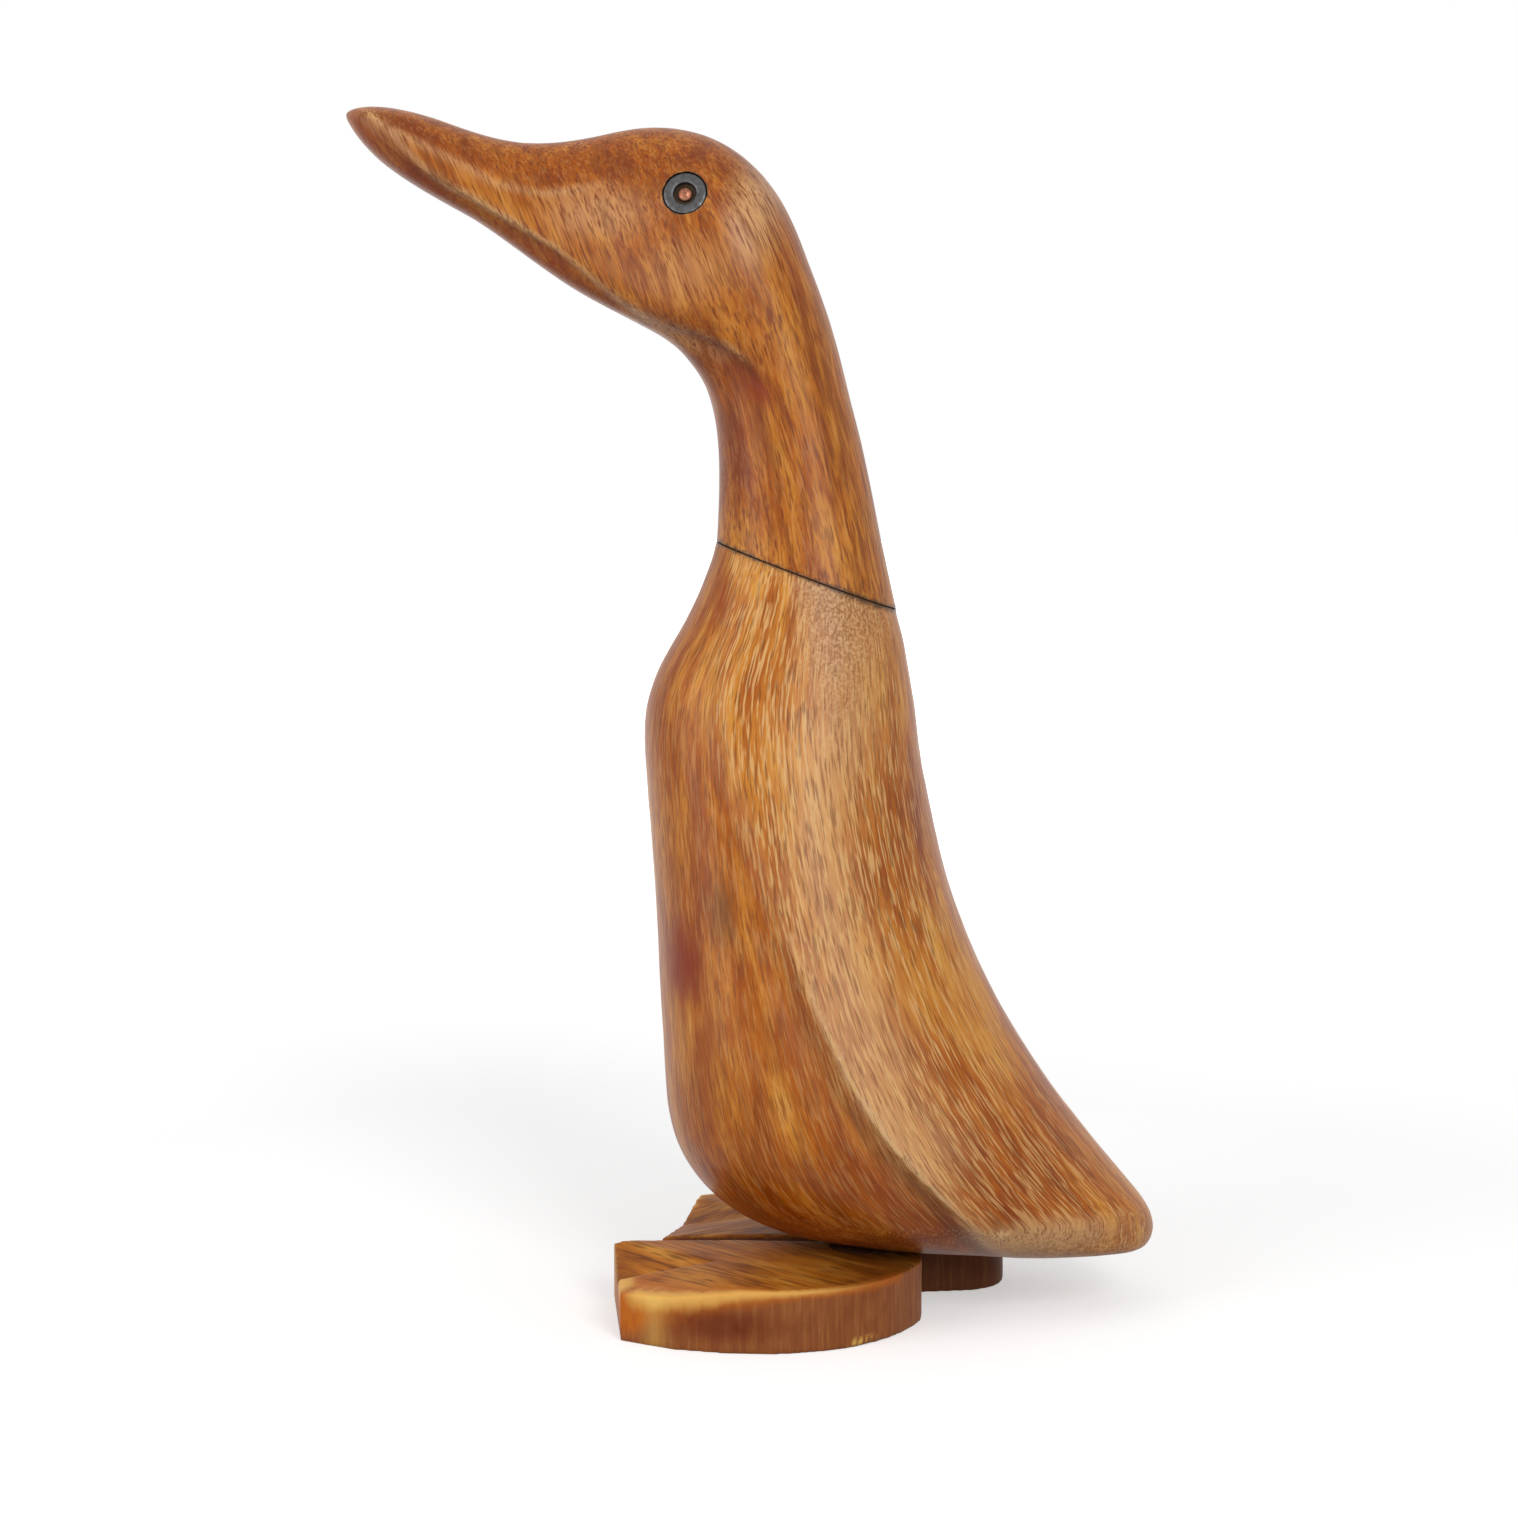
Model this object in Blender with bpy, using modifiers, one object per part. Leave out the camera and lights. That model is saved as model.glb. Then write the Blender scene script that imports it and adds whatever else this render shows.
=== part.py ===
"""Bamboo root duck carving: a standing duck carved from a bamboo root, on two screwed-on web feet.

Metres, +Z up. The duck looks along -X, its left side faces -Y, and the middle plane of the carving is y = 0
until the last step, which puts the origin under the middle of the whole duck, on the ground.
The body and the head with its neck are one carved form, sawn apart at the neck and doweled together again.
"""

import math
from collections import namedtuple

import bmesh
import bpy
from mathutils import Matrix, Vector
from mathutils.bvhtree import BVHTree

# The whole duck, from the bill's tip to the tail and from the ground to the bill's tip
DUCK_LENGTH = 0.1941
DUCK_HEIGHT = 0.2867

# The body with its tail, up to the neck joint, and the head with its neck, above the middle of that joint
BODY_LENGTH = 0.6355 * DUCK_LENGTH
BODY_HEIGHT = 0.5900 * DUCK_HEIGHT
BODY_WIDTH = 0.0820
HEAD_LENGTH = 0.6530 * DUCK_LENGTH
HEAD_HEIGHT = 0.3875 * DUCK_HEIGHT
HEAD_WIDTH = 0.0400

# Clearances between pieces that touch on the real duck
SEAT_GAP = 0.0003       # between flat faces that bear on each other
BORE_PLAY = 0.0003      # around a shank, a dowel or a ring in its hole

# Feet: sawn boards, screwed on from below
FOOT_LENGTH = 0.0750            # of the left foot
FOOT_WIDTH = 0.0430
FOOT_THICKNESS = 0.0145
FOOT_EDGE_ROUND = 0.0010
WEB_GROOVE_LENGTH = 0.0245      # from the front edge back to where it runs out
TOE_WEAR_DEPTH = 0.0034         # how far the worn outer toe of the left foot lies under the top face
TOE_WEAR_LENGTH = 0.018
TOE_WEAR_TURN = 38.0            # degrees, the way the wear runs out, from the foot's length

# Foot screws: countersunk wood screws
SCREW_LENGTH = 0.0350
SCREW_DIAMETER = 0.0035
SCREW_HEAD_DIAMETER = 0.0070
SCREW_HEAD_RIM = 0.0004
SCREW_POINT_LENGTH = 0.0050
SCREW_TIP_RADIUS = 0.0004
SCREW_TIP_LENGTH = 0.0005
SCREW_HEAD_SUNK = 0.0006        # under the sole
SCREW_SLOT_WIDTH = 0.0010
SCREW_SLOT_LENGTH = 0.0040
SCREW_SLOT_DEPTH = 0.0015

# Neck dowel
DOWEL_DIAMETER = 0.0080
DOWEL_LENGTH = 0.0400
DOWEL_CHAMFER = 0.0008

# Eyes: a flat steel ring let into the wood, with a round copper nail in its hole
EYE_FORWARD_OF_JOINT = 0.2162 * HEAD_LENGTH     # from the middle of the neck joint, towards the bill
EYE_ABOVE_JOINT = 0.7975 * HEAD_HEIGHT
EYE_RING_OUTER_DIAMETER = 0.0100
EYE_RING_HOLE_DIAMETER = 0.0054
EYE_RING_THICKNESS = 0.0011
EYE_RING_ROUND = 0.0003
EYE_RECESS_DEPTH = 0.0016
EYE_NAIL_HEAD_DIAMETER = 0.0037
EYE_NAIL_HEAD_HEIGHT = 0.0012
EYE_NAIL_HEAD_RINGS = 5         # facets from the middle of the dome to its rim
EYE_NAIL_SHANK_DIAMETER = 0.0016
EYE_NAIL_LENGTH = 0.0120
EYE_NAIL_POINT_LENGTH = 0.0024

# The edge that the knife left along the wings and the mouth
CARVED_EDGE_WIDTH = 0.0016

# A section of the carving is a plane across the duck. It is given in the side view by its end at the breast,
# throat or chin and by its end at the back, nape or crown, as parts of the length and height of the body or the
# head, and then by these, the first and the two depths as parts of half its width:
#   half_width             from the middle plane to the widest place
#   widest                 where along the section that place lies
#   edge                   where the carved edge lies, the wing's on the body and the mouth's and jaw's on the head
#   hollow                 how deep the wood is hollowed in front of or under that edge
#   proud                  how far the wood stands out behind or above it
#   front_fill, back_fill  how full the section is before and behind its widest place, 2 for an ellipse
Section = namedtuple(
    "Section", "front_x front_z back_x back_z half_width widest edge hollow proud front_fill back_fill")

# Heights are measured from the flat underside of the body, up to the neck joint, which is the last section
BODY_SECTIONS = [
    Section(0.1662, 0.0000, 0.6161, 0.0000, 0.2805, 0.560, 0.640, 0.0000, 0.0000, 2.0, 2.2),
    Section(0.0892, 0.0053, 0.7426, -0.0035, 0.4195, 0.530, 0.630, 0.0024, 0.0049, 2.0, 2.5),
    Section(0.0243, 0.0166, 0.7702, 0.0071, 0.5585, 0.490, 0.620, 0.0073, 0.0195, 2.0, 2.3),
    Section(-0.0340, 0.0367, 0.7766, 0.0284, 0.6976, 0.450, 0.610, 0.0146, 0.0341, 2.0, 2.0),
    Section(-0.0851, 0.0644, 0.7596, 0.0585, 0.8195, 0.420, 0.600, 0.0195, 0.0439, 2.1, 2.0),
    Section(-0.1378, 0.1082, 0.7029, 0.1076, 0.9317, 0.390, 0.590, 0.0244, 0.0512, 2.1, 1.9),
    Section(-0.1767, 0.1785, 0.6234, 0.1785, 1.0000, 0.380, 0.560, 0.0244, 0.0488, 2.2, 1.9),
    Section(-0.1865, 0.2790, 0.5237, 0.2790, 0.9927, 0.380, 0.520, 0.0220, 0.0390, 2.3, 1.9),
    Section(-0.1954, 0.3973, 0.4345, 0.3973, 0.9268, 0.400, 0.480, 0.0171, 0.0268, 2.3, 1.9),
    Section(-0.2043, 0.5273, 0.3664, 0.5273, 0.8488, 0.430, 0.435, 0.0146, 0.0195, 2.3, 2.0),
    Section(-0.2173, 0.6456, 0.3291, 0.6456, 0.7756, 0.450, 0.380, 0.0146, 0.0171, 2.3, 2.0),
    Section(-0.2238, 0.7402, 0.3162, 0.6958, 0.7146, 0.470, 0.330, 0.0146, 0.0146, 2.2, 2.1),
    Section(-0.1994, 0.8141, 0.3056, 0.7608, 0.6390, 0.480, 0.280, 0.0098, 0.0098, 2.2, 2.1),
    Section(-0.1419, 0.8880, 0.2919, 0.8170, 0.5659, 0.490, 0.220, 0.0049, 0.0049, 2.2, 2.2),
    Section(-0.1021, 0.9530, 0.2805, 0.8614, 0.5000, 0.500, 0.170, 0.0000, 0.0024, 2.2, 2.2),
    Section(-0.0819, 0.9991, 0.2659, 0.9016, 0.4561, 0.500, 0.150, 0.0000, 0.0000, 2.2, 2.2),
]

# The sections above the neck joint, measured from the middle of that joint
HEAD_SECTIONS = [
    Section(-0.1653, 0.1746, 0.1345, 0.1170, 0.8600, 0.500, 0.260, 0.0000, 0.0000, 2.2, 2.2),
    Section(-0.1661, 0.2736, 0.1061, 0.2736, 0.8100, 0.500, 0.380, 0.0000, 0.0000, 2.2, 2.2),
    Section(-0.1748, 0.3501, 0.0785, 0.3907, 0.8000, 0.500, 0.460, 0.0200, 0.0150, 2.3, 2.2),
    Section(-0.1890, 0.4042, 0.0493, 0.5212, 0.8300, 0.500, 0.340, 0.0700, 0.0250, 2.6, 2.2),
    Section(-0.2126, 0.4474, 0.0020, 0.6724, 0.9200, 0.490, 0.200, 0.1000, 0.0200, 3.0, 2.2),
    Section(-0.2473, 0.4915, -0.0588, 0.8236, 1.0000, 0.470, 0.070, 0.0700, 0.0150, 3.6, 2.2),
    Section(-0.3026, 0.5293, -0.1629, 0.9271, 0.9350, 0.450, 0.045, 0.0350, 0.0150, 4.0, 2.2),
    Section(-0.3736, 0.5707, -0.2947, 0.9559, 0.7500, 0.430, 0.085, 0.0500, 0.0150, 3.6, 2.2),
    Section(-0.4525, 0.6211, -0.4209, 0.9280, 0.6200, 0.420, 0.165, 0.0600, 0.0150, 3.2, 2.2),
    Section(-0.5314, 0.6850, -0.5314, 0.9208, 0.5600, 0.420, 0.195, 0.0650, 0.0150, 3.0, 2.2),
    Section(-0.6103, 0.7498, -0.6221, 0.9442, 0.5500, 0.450, 0.190, 0.0650, 0.0150, 2.8, 2.2),
    Section(-0.6813, 0.7957, -0.6931, 0.9739, 0.5600, 0.500, 0.190, 0.0550, 0.0150, 2.6, 2.2),
    Section(-0.7444, 0.8380, -0.7602, 0.9937, 0.5600, 0.560, 0.260, 0.0350, 0.0100, 2.5, 2.3),
    Section(-0.7996, 0.8821, -0.8115, 1.0000, 0.5050, 0.620, 0.380, 0.0150, 0.0000, 2.4, 2.4),
    Section(-0.8391, 0.9280, -0.8454, 0.9964, 0.3700, 0.620, 0.500, 0.0000, 0.0000, 2.3, 2.3),
    Section(-0.8651, 0.9721, -0.8651, 0.9901, 0.1500, 0.600, 0.500, 0.0000, 0.0000, 2.2, 2.2),
]

BODY_RINGS_PER_SECTION = 3
HEAD_RINGS_PER_SECTION = 2
FACETS_BEFORE_EDGE = 9
FACETS_BEHIND_EDGE = 10
TURNED_STEPS = 28
SHARP_FROM = math.radians(40)
CURVE_STEPS = 4                 # between two points of a foot's outline
CLEAR_OF_DUCK = 0.2             # out to the side, further than any part of it

# A foot: where its screw goes up into the body, as parts of the body's length and width, how far it is turned
# anticlockwise from above in degrees, and the depth of the web groove at the front edge, as a part of its
# thickness. Its outline is measured from the screw, in parts of the left foot's length and width, x to the heel
# and y to the duck's right. It starts at the inner toe and ends at the outer toe, and the groove opens between
# them. A point marked True is a corner, and a smooth curve joins the others.
Foot = namedtuple("Foot", "screw_x screw_y turn groove_depth outline")

LEFT_FOOT = Foot(0.243, -0.146, 0.0, 0.400, [
    (-0.865, 0.116, True), (-0.693, 0.144, False), (-0.480, 0.172, False), (-0.267, 0.181, False),
    (-0.053, 0.163, False), (0.080, 0.070, False), (0.133, -0.116, False), (0.093, -0.372, False),
    (-0.040, -0.674, False), (-0.187, -0.819, False), (-0.373, -0.884, False), (-0.620, -0.830, True),
    (-0.789, -0.686, True)])
RIGHT_FOOT = Foot(0.373, 0.183, 6.0, 0.193, [
    (-0.949, -0.233, True), (-0.760, -0.242, False), (-0.531, -0.247, False), (-0.291, -0.251, False),
    (-0.024, -0.251, False), (0.123, -0.186, False), (0.185, -0.009, False), (0.149, 0.256, False),
    (0.000, 0.558, False), (-0.224, 0.767, False), (-0.437, 0.847, False), (-0.677, 0.819, True),
    (-0.816, 0.716, True)])


def clear_scene():
    for obj in list(bpy.data.objects):
        bpy.data.objects.remove(obj, do_unlink=True)
    for old in list(bpy.data.collections):
        bpy.data.collections.remove(old)


def new_collection(name):
    made = bpy.data.collections.new(name)
    bpy.context.scene.collection.children.link(made)
    return made


def material(name, colour, roughness, metallic=0.0):
    made = bpy.data.materials.new(name)
    made.use_nodes = True
    shader = made.node_tree.nodes["Principled BSDF"]
    shader.inputs["Base Color"].default_value = (*colour, 1.0)
    shader.inputs["Roughness"].default_value = roughness
    shader.inputs["Metallic"].default_value = metallic
    return made


def object_from_bmesh(name, mesh_data, collection, finish=None):
    mesh = bpy.data.meshes.new(name)
    mesh_data.to_mesh(mesh)
    mesh_data.free()
    obj = bpy.data.objects.new(name, mesh)
    if finish:
        mesh.materials.append(finish)
    collection.objects.link(obj)
    return obj


def shade(obj):
    obj.data.shade_smooth()
    obj.data.set_sharp_from_angle(angle=SHARP_FROM)


def cut(obj, cutter):
    modifier = obj.modifiers.new("cut_" + cutter.name, "BOOLEAN")
    modifier.operation = "DIFFERENCE"
    modifier.object = cutter


def as_cutter(obj):
    obj.hide_render = True
    obj.display_type = "WIRE"
    return obj


def turned(name, profile, collection, finish=None, closed=False):
    """A piece turned round the local Z axis from (radius, height) points, listed from the top down."""
    shape = bmesh.new()
    points = [shape.verts.new((radius, 0.0, height)) for radius, height in profile]
    ends = points[1:] + points[:1] if closed else points[1:]
    for first, second in zip(points, ends):
        shape.edges.new((first, second))
    obj = object_from_bmesh(name, shape, collection, finish)
    spin = obj.modifiers.new("turning", "SCREW")
    spin.steps = spin.render_steps = TURNED_STEPS
    spin.use_merge_vertices = True
    spin.merge_threshold = 0.00001
    spin.use_normal_calculate = closed
    return obj


def placed(obj, place, direction=Vector((0, 0, 1))):
    """Puts a turned piece at a place, with its own Z axis along a direction."""
    obj.location = place
    obj.rotation_mode = "QUATERNION"
    obj.rotation_quaternion = direction.to_track_quat("Z", "Y")
    return obj


# Sections of the carving

def full_size(section, length, height, width):
    """A section of the tables above in metres."""
    return section._replace(
        front_x=section.front_x * length, front_z=section.front_z * height,
        back_x=section.back_x * length, back_z=section.back_z * height,
        half_width=section.half_width * width / 2,
        hollow=section.hollow * width / 2, proud=section.proud * width / 2)


def shifted(section, along_x, along_z):
    return section._replace(
        front_x=section.front_x + along_x, front_z=section.front_z + along_z,
        back_x=section.back_x + along_x, back_z=section.back_z + along_z)


def joint_frame(joint):
    """Middle of the neck joint and the direction square to it, up the neck."""
    middle = Vector(((joint.front_x + joint.back_x) / 2, 0.0, (joint.front_z + joint.back_z) / 2))
    along = Vector((joint.back_x - joint.front_x, 0.0, joint.back_z - joint.front_z)).normalized()
    return middle, Vector((-along.z, 0.0, along.x))


def smooth_between(before, start, end, after, t):
    """Catmull-Rom value between start and end."""
    return 0.5 * (2 * start + (end - before) * t
                  + (2 * before - 5 * start + 4 * end - after) * t ** 2
                  + (3 * start - before - 3 * end + after) * t ** 3)


def faired(sections, steps):
    """The given sections with smooth ones between them."""
    padded = [sections[0]] + list(sections) + [sections[-1]]
    out = []
    for index in range(len(sections) - 1):
        four = padded[index:index + 4]
        for step in range(steps):
            out.append(Section(*(smooth_between(*values, step / steps) for values in zip(*four))))
    out.append(sections[-1])
    return out


def half_outline(section):
    """Points (part of the section's length, distance from the middle plane) from its front end to its back."""
    def place(angle):
        if angle < math.pi / 2:
            reach = max(math.cos(angle), 0.0) ** (2 / section.front_fill)
            return (section.widest * (1 - reach),
                    section.half_width * math.sin(angle) ** (2 / section.front_fill))
        reach = max(-math.cos(angle), 0.0) ** (2 / section.back_fill)
        return (section.widest + (1 - section.widest) * reach,
                section.half_width * max(math.sin(angle), 0.0) ** (2 / section.back_fill))

    length = math.hypot(section.back_x - section.front_x, section.back_z - section.front_z)
    if section.edge < section.widest:
        reach = 1 - section.edge / section.widest
        edge_angle = math.acos(reach ** (section.front_fill / 2))
    else:
        reach = (section.edge - section.widest) / (1 - section.widest)
        edge_angle = math.pi - math.acos(reach ** (section.back_fill / 2))
    half_edge = CARVED_EDGE_WIDTH / (length / 2 + section.half_width)
    half_edge = min(half_edge, edge_angle / 3, (math.pi - edge_angle) / 3)

    points = []
    for step in range(FACETS_BEFORE_EDGE + 1):
        part = step / FACETS_BEFORE_EDGE
        along, out = place((edge_angle - half_edge) * part)
        points.append((along, max(out - section.hollow * part ** 3, 0.0)))
    for step in range(FACETS_BEHIND_EDGE + 1):
        part = step / FACETS_BEHIND_EDGE
        along, out = place(edge_angle + half_edge + (math.pi - edge_angle - half_edge) * part)
        points.append((along, out + section.proud * (1 - part) ** 2 if part < 1 else 0.0))
    return points


def ring_points(section):
    front = Vector((section.front_x, 0.0, section.front_z))
    back = Vector((section.back_x, 0.0, section.back_z))
    half = half_outline(section)
    left = [front.lerp(back, along) - Vector((0, out, 0)) for along, out in half]
    right = [front.lerp(back, along) + Vector((0, out, 0)) for along, out in half[1:-1]]
    return left + right[::-1]


def carved(name, sections, collection, finish):
    """A closed solid through the sections, with flat ends."""
    shape = bmesh.new()
    rings = [[shape.verts.new(point) for point in ring_points(section)] for section in sections]
    for lower, upper in zip(rings, rings[1:]):
        for index in range(len(lower)):
            following = (index + 1) % len(lower)
            shape.faces.new((lower[index], lower[following], upper[following], upper[index]))
    shape.faces.new(rings[0][::-1])
    shape.faces.new(rings[-1])
    bmesh.ops.recalc_face_normals(shape, faces=shape.faces)
    obj = object_from_bmesh(name, shape, collection, finish)
    shade(obj)
    return obj


def surface_at(obj, x, z, side):
    """Where a line across the duck meets its surface on one side, and the way that surface faces there."""
    tree = BVHTree.FromPolygons([v.co for v in obj.data.vertices], [p.vertices for p in obj.data.polygons])

    def hit(dx, dz):
        start = Vector((x + dx, side * CLEAR_OF_DUCK, z + dz))
        return tree.ray_cast(start, Vector((0, -side, 0)))[0]

    probe = EYE_RING_OUTER_DIAMETER / 2
    across = hit(probe, 0) - hit(-probe, 0)
    upward = hit(0, probe) - hit(0, -probe)
    facing = across.cross(upward).normalized()
    if facing.y * side < 0:
        facing.negate()
    return hit(0, 0), facing


# Pieces

def bodies(collection, wood):
    """The body and the head with its neck, and the middle and direction of the joint between them."""
    underside = FOOT_THICKNESS + SEAT_GAP
    body_sections = [
        shifted(full_size(section, BODY_LENGTH, BODY_HEIGHT, BODY_WIDTH), 0.0, underside)
        for section in BODY_SECTIONS]
    joint = body_sections[-1]
    middle, upward = joint_frame(joint)
    head_sections = [
        shifted(full_size(section, HEAD_LENGTH, HEAD_HEIGHT, HEAD_WIDTH), middle.x, middle.z)
        for section in HEAD_SECTIONS]
    neck_foot = shifted(joint, upward.x * SEAT_GAP, upward.z * SEAT_GAP)
    whole = body_sections + head_sections

    body = carved("body", faired(whole, BODY_RINGS_PER_SECTION)[
        :(len(body_sections) - 1) * BODY_RINGS_PER_SECTION + 1], collection, wood)
    above = faired(whole, HEAD_RINGS_PER_SECTION)[(len(body_sections) - 1) * HEAD_RINGS_PER_SECTION + 1:]
    head = carved("head_neck", [neck_foot] + above, collection, wood)
    return body, head, middle, upward


def neck_dowel(body, head, middle, upward, collection, cutters, wood):
    radius, half = DOWEL_DIAMETER / 2, DOWEL_LENGTH / 2
    centre = middle + upward * (SEAT_GAP / 2)
    dowel = turned("neck_dowel", [
        (0.0, half), (radius - DOWEL_CHAMFER, half), (radius, half - DOWEL_CHAMFER),
        (radius, DOWEL_CHAMFER - half), (radius - DOWEL_CHAMFER, -half), (0.0, -half)], collection, wood)
    placed(dowel, centre, upward)
    shade(dowel)
    bore_end = half + SEAT_GAP
    bore = turned("dowel_bore", [
        (0.0, bore_end), (radius + BORE_PLAY, bore_end), (radius + BORE_PLAY, -bore_end), (0.0, -bore_end)],
        cutters)
    placed(as_cutter(bore), centre, upward)
    cut(body, bore)
    cut(head, bore)


def full_size_foot(foot):
    """A foot of the tables above in metres."""
    return Foot(foot.screw_x * BODY_LENGTH, foot.screw_y * BODY_WIDTH, foot.turn,
                foot.groove_depth * FOOT_THICKNESS,
                [(x * FOOT_LENGTH, y * FOOT_WIDTH, corner) for x, y, corner in foot.outline])


def foot_board(name, foot, collection, wood):
    """One foot's board as a closed mesh, from its outline."""
    pattern_curve = bpy.data.curves.new(name, "CURVE")
    pattern_curve.dimensions = "2D"
    pattern_curve.fill_mode = "BOTH"
    pattern_curve.extrude = FOOT_THICKNESS / 2
    pattern_curve.resolution_u = CURVE_STEPS
    spline = pattern_curve.splines.new("BEZIER")
    spline.bezier_points.add(len(foot.outline) - 1)
    spline.use_cyclic_u = True
    for point, (x, y, corner) in zip(spline.bezier_points, foot.outline):
        point.co = (x, y, 0.0)
        point.handle_left_type = point.handle_right_type = "VECTOR" if corner else "AUTO"
    pattern = bpy.data.objects.new(name + "_outline", pattern_curve)
    collection.objects.link(pattern)
    bpy.context.view_layer.update()
    depsgraph = bpy.context.evaluated_depsgraph_get()
    flat = bpy.data.meshes.new_from_object(pattern.evaluated_get(depsgraph))
    bpy.data.objects.remove(pattern, do_unlink=True)
    board = bmesh.new()
    board.from_mesh(flat)
    bpy.data.meshes.remove(flat)
    bmesh.ops.remove_doubles(board, verts=board.verts, dist=0.00005)
    bmesh.ops.translate(board, verts=board.verts, vec=(0, 0, FOOT_THICKNESS / 2))
    bmesh.ops.recalc_face_normals(board, faces=board.faces)
    obj = object_from_bmesh(name, board, collection, wood)
    rounding = obj.modifiers.new("rounded edges", "BEVEL")
    rounding.width = FOOT_EDGE_ROUND
    rounding.segments = 2
    rounding.limit_method = "ANGLE"
    rounding.angle_limit = math.radians(38)
    return obj


def web_groove(name, foot, cutters):
    """A four-sided bar on its edge that cuts a groove back from between the toes, out at the top face."""
    inner_toe = Vector(foot.outline[0][:2])
    outer_toe = Vector(foot.outline[-1][:2])
    front = (inner_toe + outer_toe) / 2
    half_height = 3 * foot.groove_depth
    half_width = half_height * abs(outer_toe.y - inner_toe.y) / 2 / foot.groove_depth
    bar = bmesh.new()
    bmesh.ops.create_cone(bar, segments=4, radius1=1.0, radius2=1.0, depth=1.0, cap_ends=True)
    bmesh.ops.rotate(bar, verts=bar.verts, matrix=Matrix.Rotation(math.pi / 2, 3, "Y"))
    bmesh.ops.scale(bar, verts=bar.verts, vec=(3 * WEB_GROOVE_LENGTH, half_width, half_height))
    bmesh.ops.translate(bar, verts=bar.verts, vec=(0, 0, half_height))
    obj = as_cutter(object_from_bmesh(name, bar, cutters))
    obj.matrix_world = (
        Matrix.Translation((front.x, front.y, FOOT_THICKNESS - foot.groove_depth))
        @ Matrix.Rotation(-math.atan2(foot.groove_depth, WEB_GROOVE_LENGTH), 4, "Y"))
    return obj


def toe_wear(name, foot, cutters):
    """A block whose underside slopes down to the tip of the outer toe and planes its top away."""
    toe_x, toe_y, _ = foot.outline[-1]
    block = bmesh.new()
    bmesh.ops.create_cube(block, size=6 * TOE_WEAR_LENGTH)
    bmesh.ops.translate(block, verts=block.verts, vec=(0, 0, 3 * TOE_WEAR_LENGTH))
    obj = as_cutter(object_from_bmesh(name, block, cutters))
    slope = math.atan2(TOE_WEAR_DEPTH, TOE_WEAR_LENGTH)
    obj.matrix_world = (
        Matrix.Translation((toe_x, toe_y, FOOT_THICKNESS - TOE_WEAR_DEPTH))
        @ Matrix.Rotation(math.radians(TOE_WEAR_TURN), 4, "Z")
        @ Matrix.Rotation(-slope, 4, "Y"))
    return obj


def fit_foot(name, foot, worn, body, collection, cutters, wood, steel):
    """A foot with its screw, and their holes; a worn foot has its outer toe planed down."""
    foot = full_size_foot(foot)
    board = foot_board(name, foot, collection, wood)
    frame = Matrix.Translation((foot.screw_x, foot.screw_y, 0.0))
    frame = frame @ Matrix.Rotation(math.radians(foot.turn), 4, "Z")
    board.matrix_world = frame
    shaping = [web_groove(name + "_groove", foot, cutters)]
    if worn:
        shaping.append(toe_wear(name + "_wear", foot, cutters))
    for cutter in shaping:
        cutter.matrix_world = frame @ cutter.matrix_world
        cut(board, cutter)

    head_radius, shank = SCREW_HEAD_DIAMETER / 2, SCREW_DIAMETER / 2
    head_height = SCREW_HEAD_RIM + head_radius - shank
    foot_screw = turned(name + "_screw", [
        (0.0, SCREW_LENGTH), (SCREW_TIP_RADIUS, SCREW_LENGTH - SCREW_TIP_LENGTH),
        (shank, SCREW_LENGTH - SCREW_POINT_LENGTH), (shank, head_height), (head_radius, SCREW_HEAD_RIM),
        (head_radius, 0.0), (0.0, 0.0)], collection, steel)
    foot_screw.location = (foot.screw_x, foot.screw_y, SCREW_HEAD_SUNK)
    for quarter in range(2):
        slot = bmesh.new()
        bmesh.ops.create_cube(slot, size=1.0)
        bmesh.ops.scale(slot, verts=slot.verts, vec=(SCREW_SLOT_LENGTH, SCREW_SLOT_WIDTH, 2 * SCREW_SLOT_DEPTH))
        slot = as_cutter(object_from_bmesh(f"{name}_slot_{quarter + 1}", slot, cutters))
        slot.location = foot_screw.location
        slot.rotation_euler.z = quarter * math.pi / 2
        cut(foot_screw, slot)
    shade(foot_screw)

    hole_top = SCREW_HEAD_SUNK + SCREW_LENGTH + SEAT_GAP
    wide, narrow = head_radius + BORE_PLAY, shank + BORE_PLAY
    hole = turned(name + "_hole", [
        (0.0, hole_top), (narrow, hole_top), (narrow, SCREW_HEAD_SUNK + head_height + BORE_PLAY),
        (wide, SCREW_HEAD_SUNK + SCREW_HEAD_RIM + BORE_PLAY), (wide, -SEAT_GAP), (0.0, -SEAT_GAP)], cutters)
    as_cutter(hole).location = (foot.screw_x, foot.screw_y, 0.0)
    cut(board, hole)
    cut(body, hole)
    shade(board)


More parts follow.
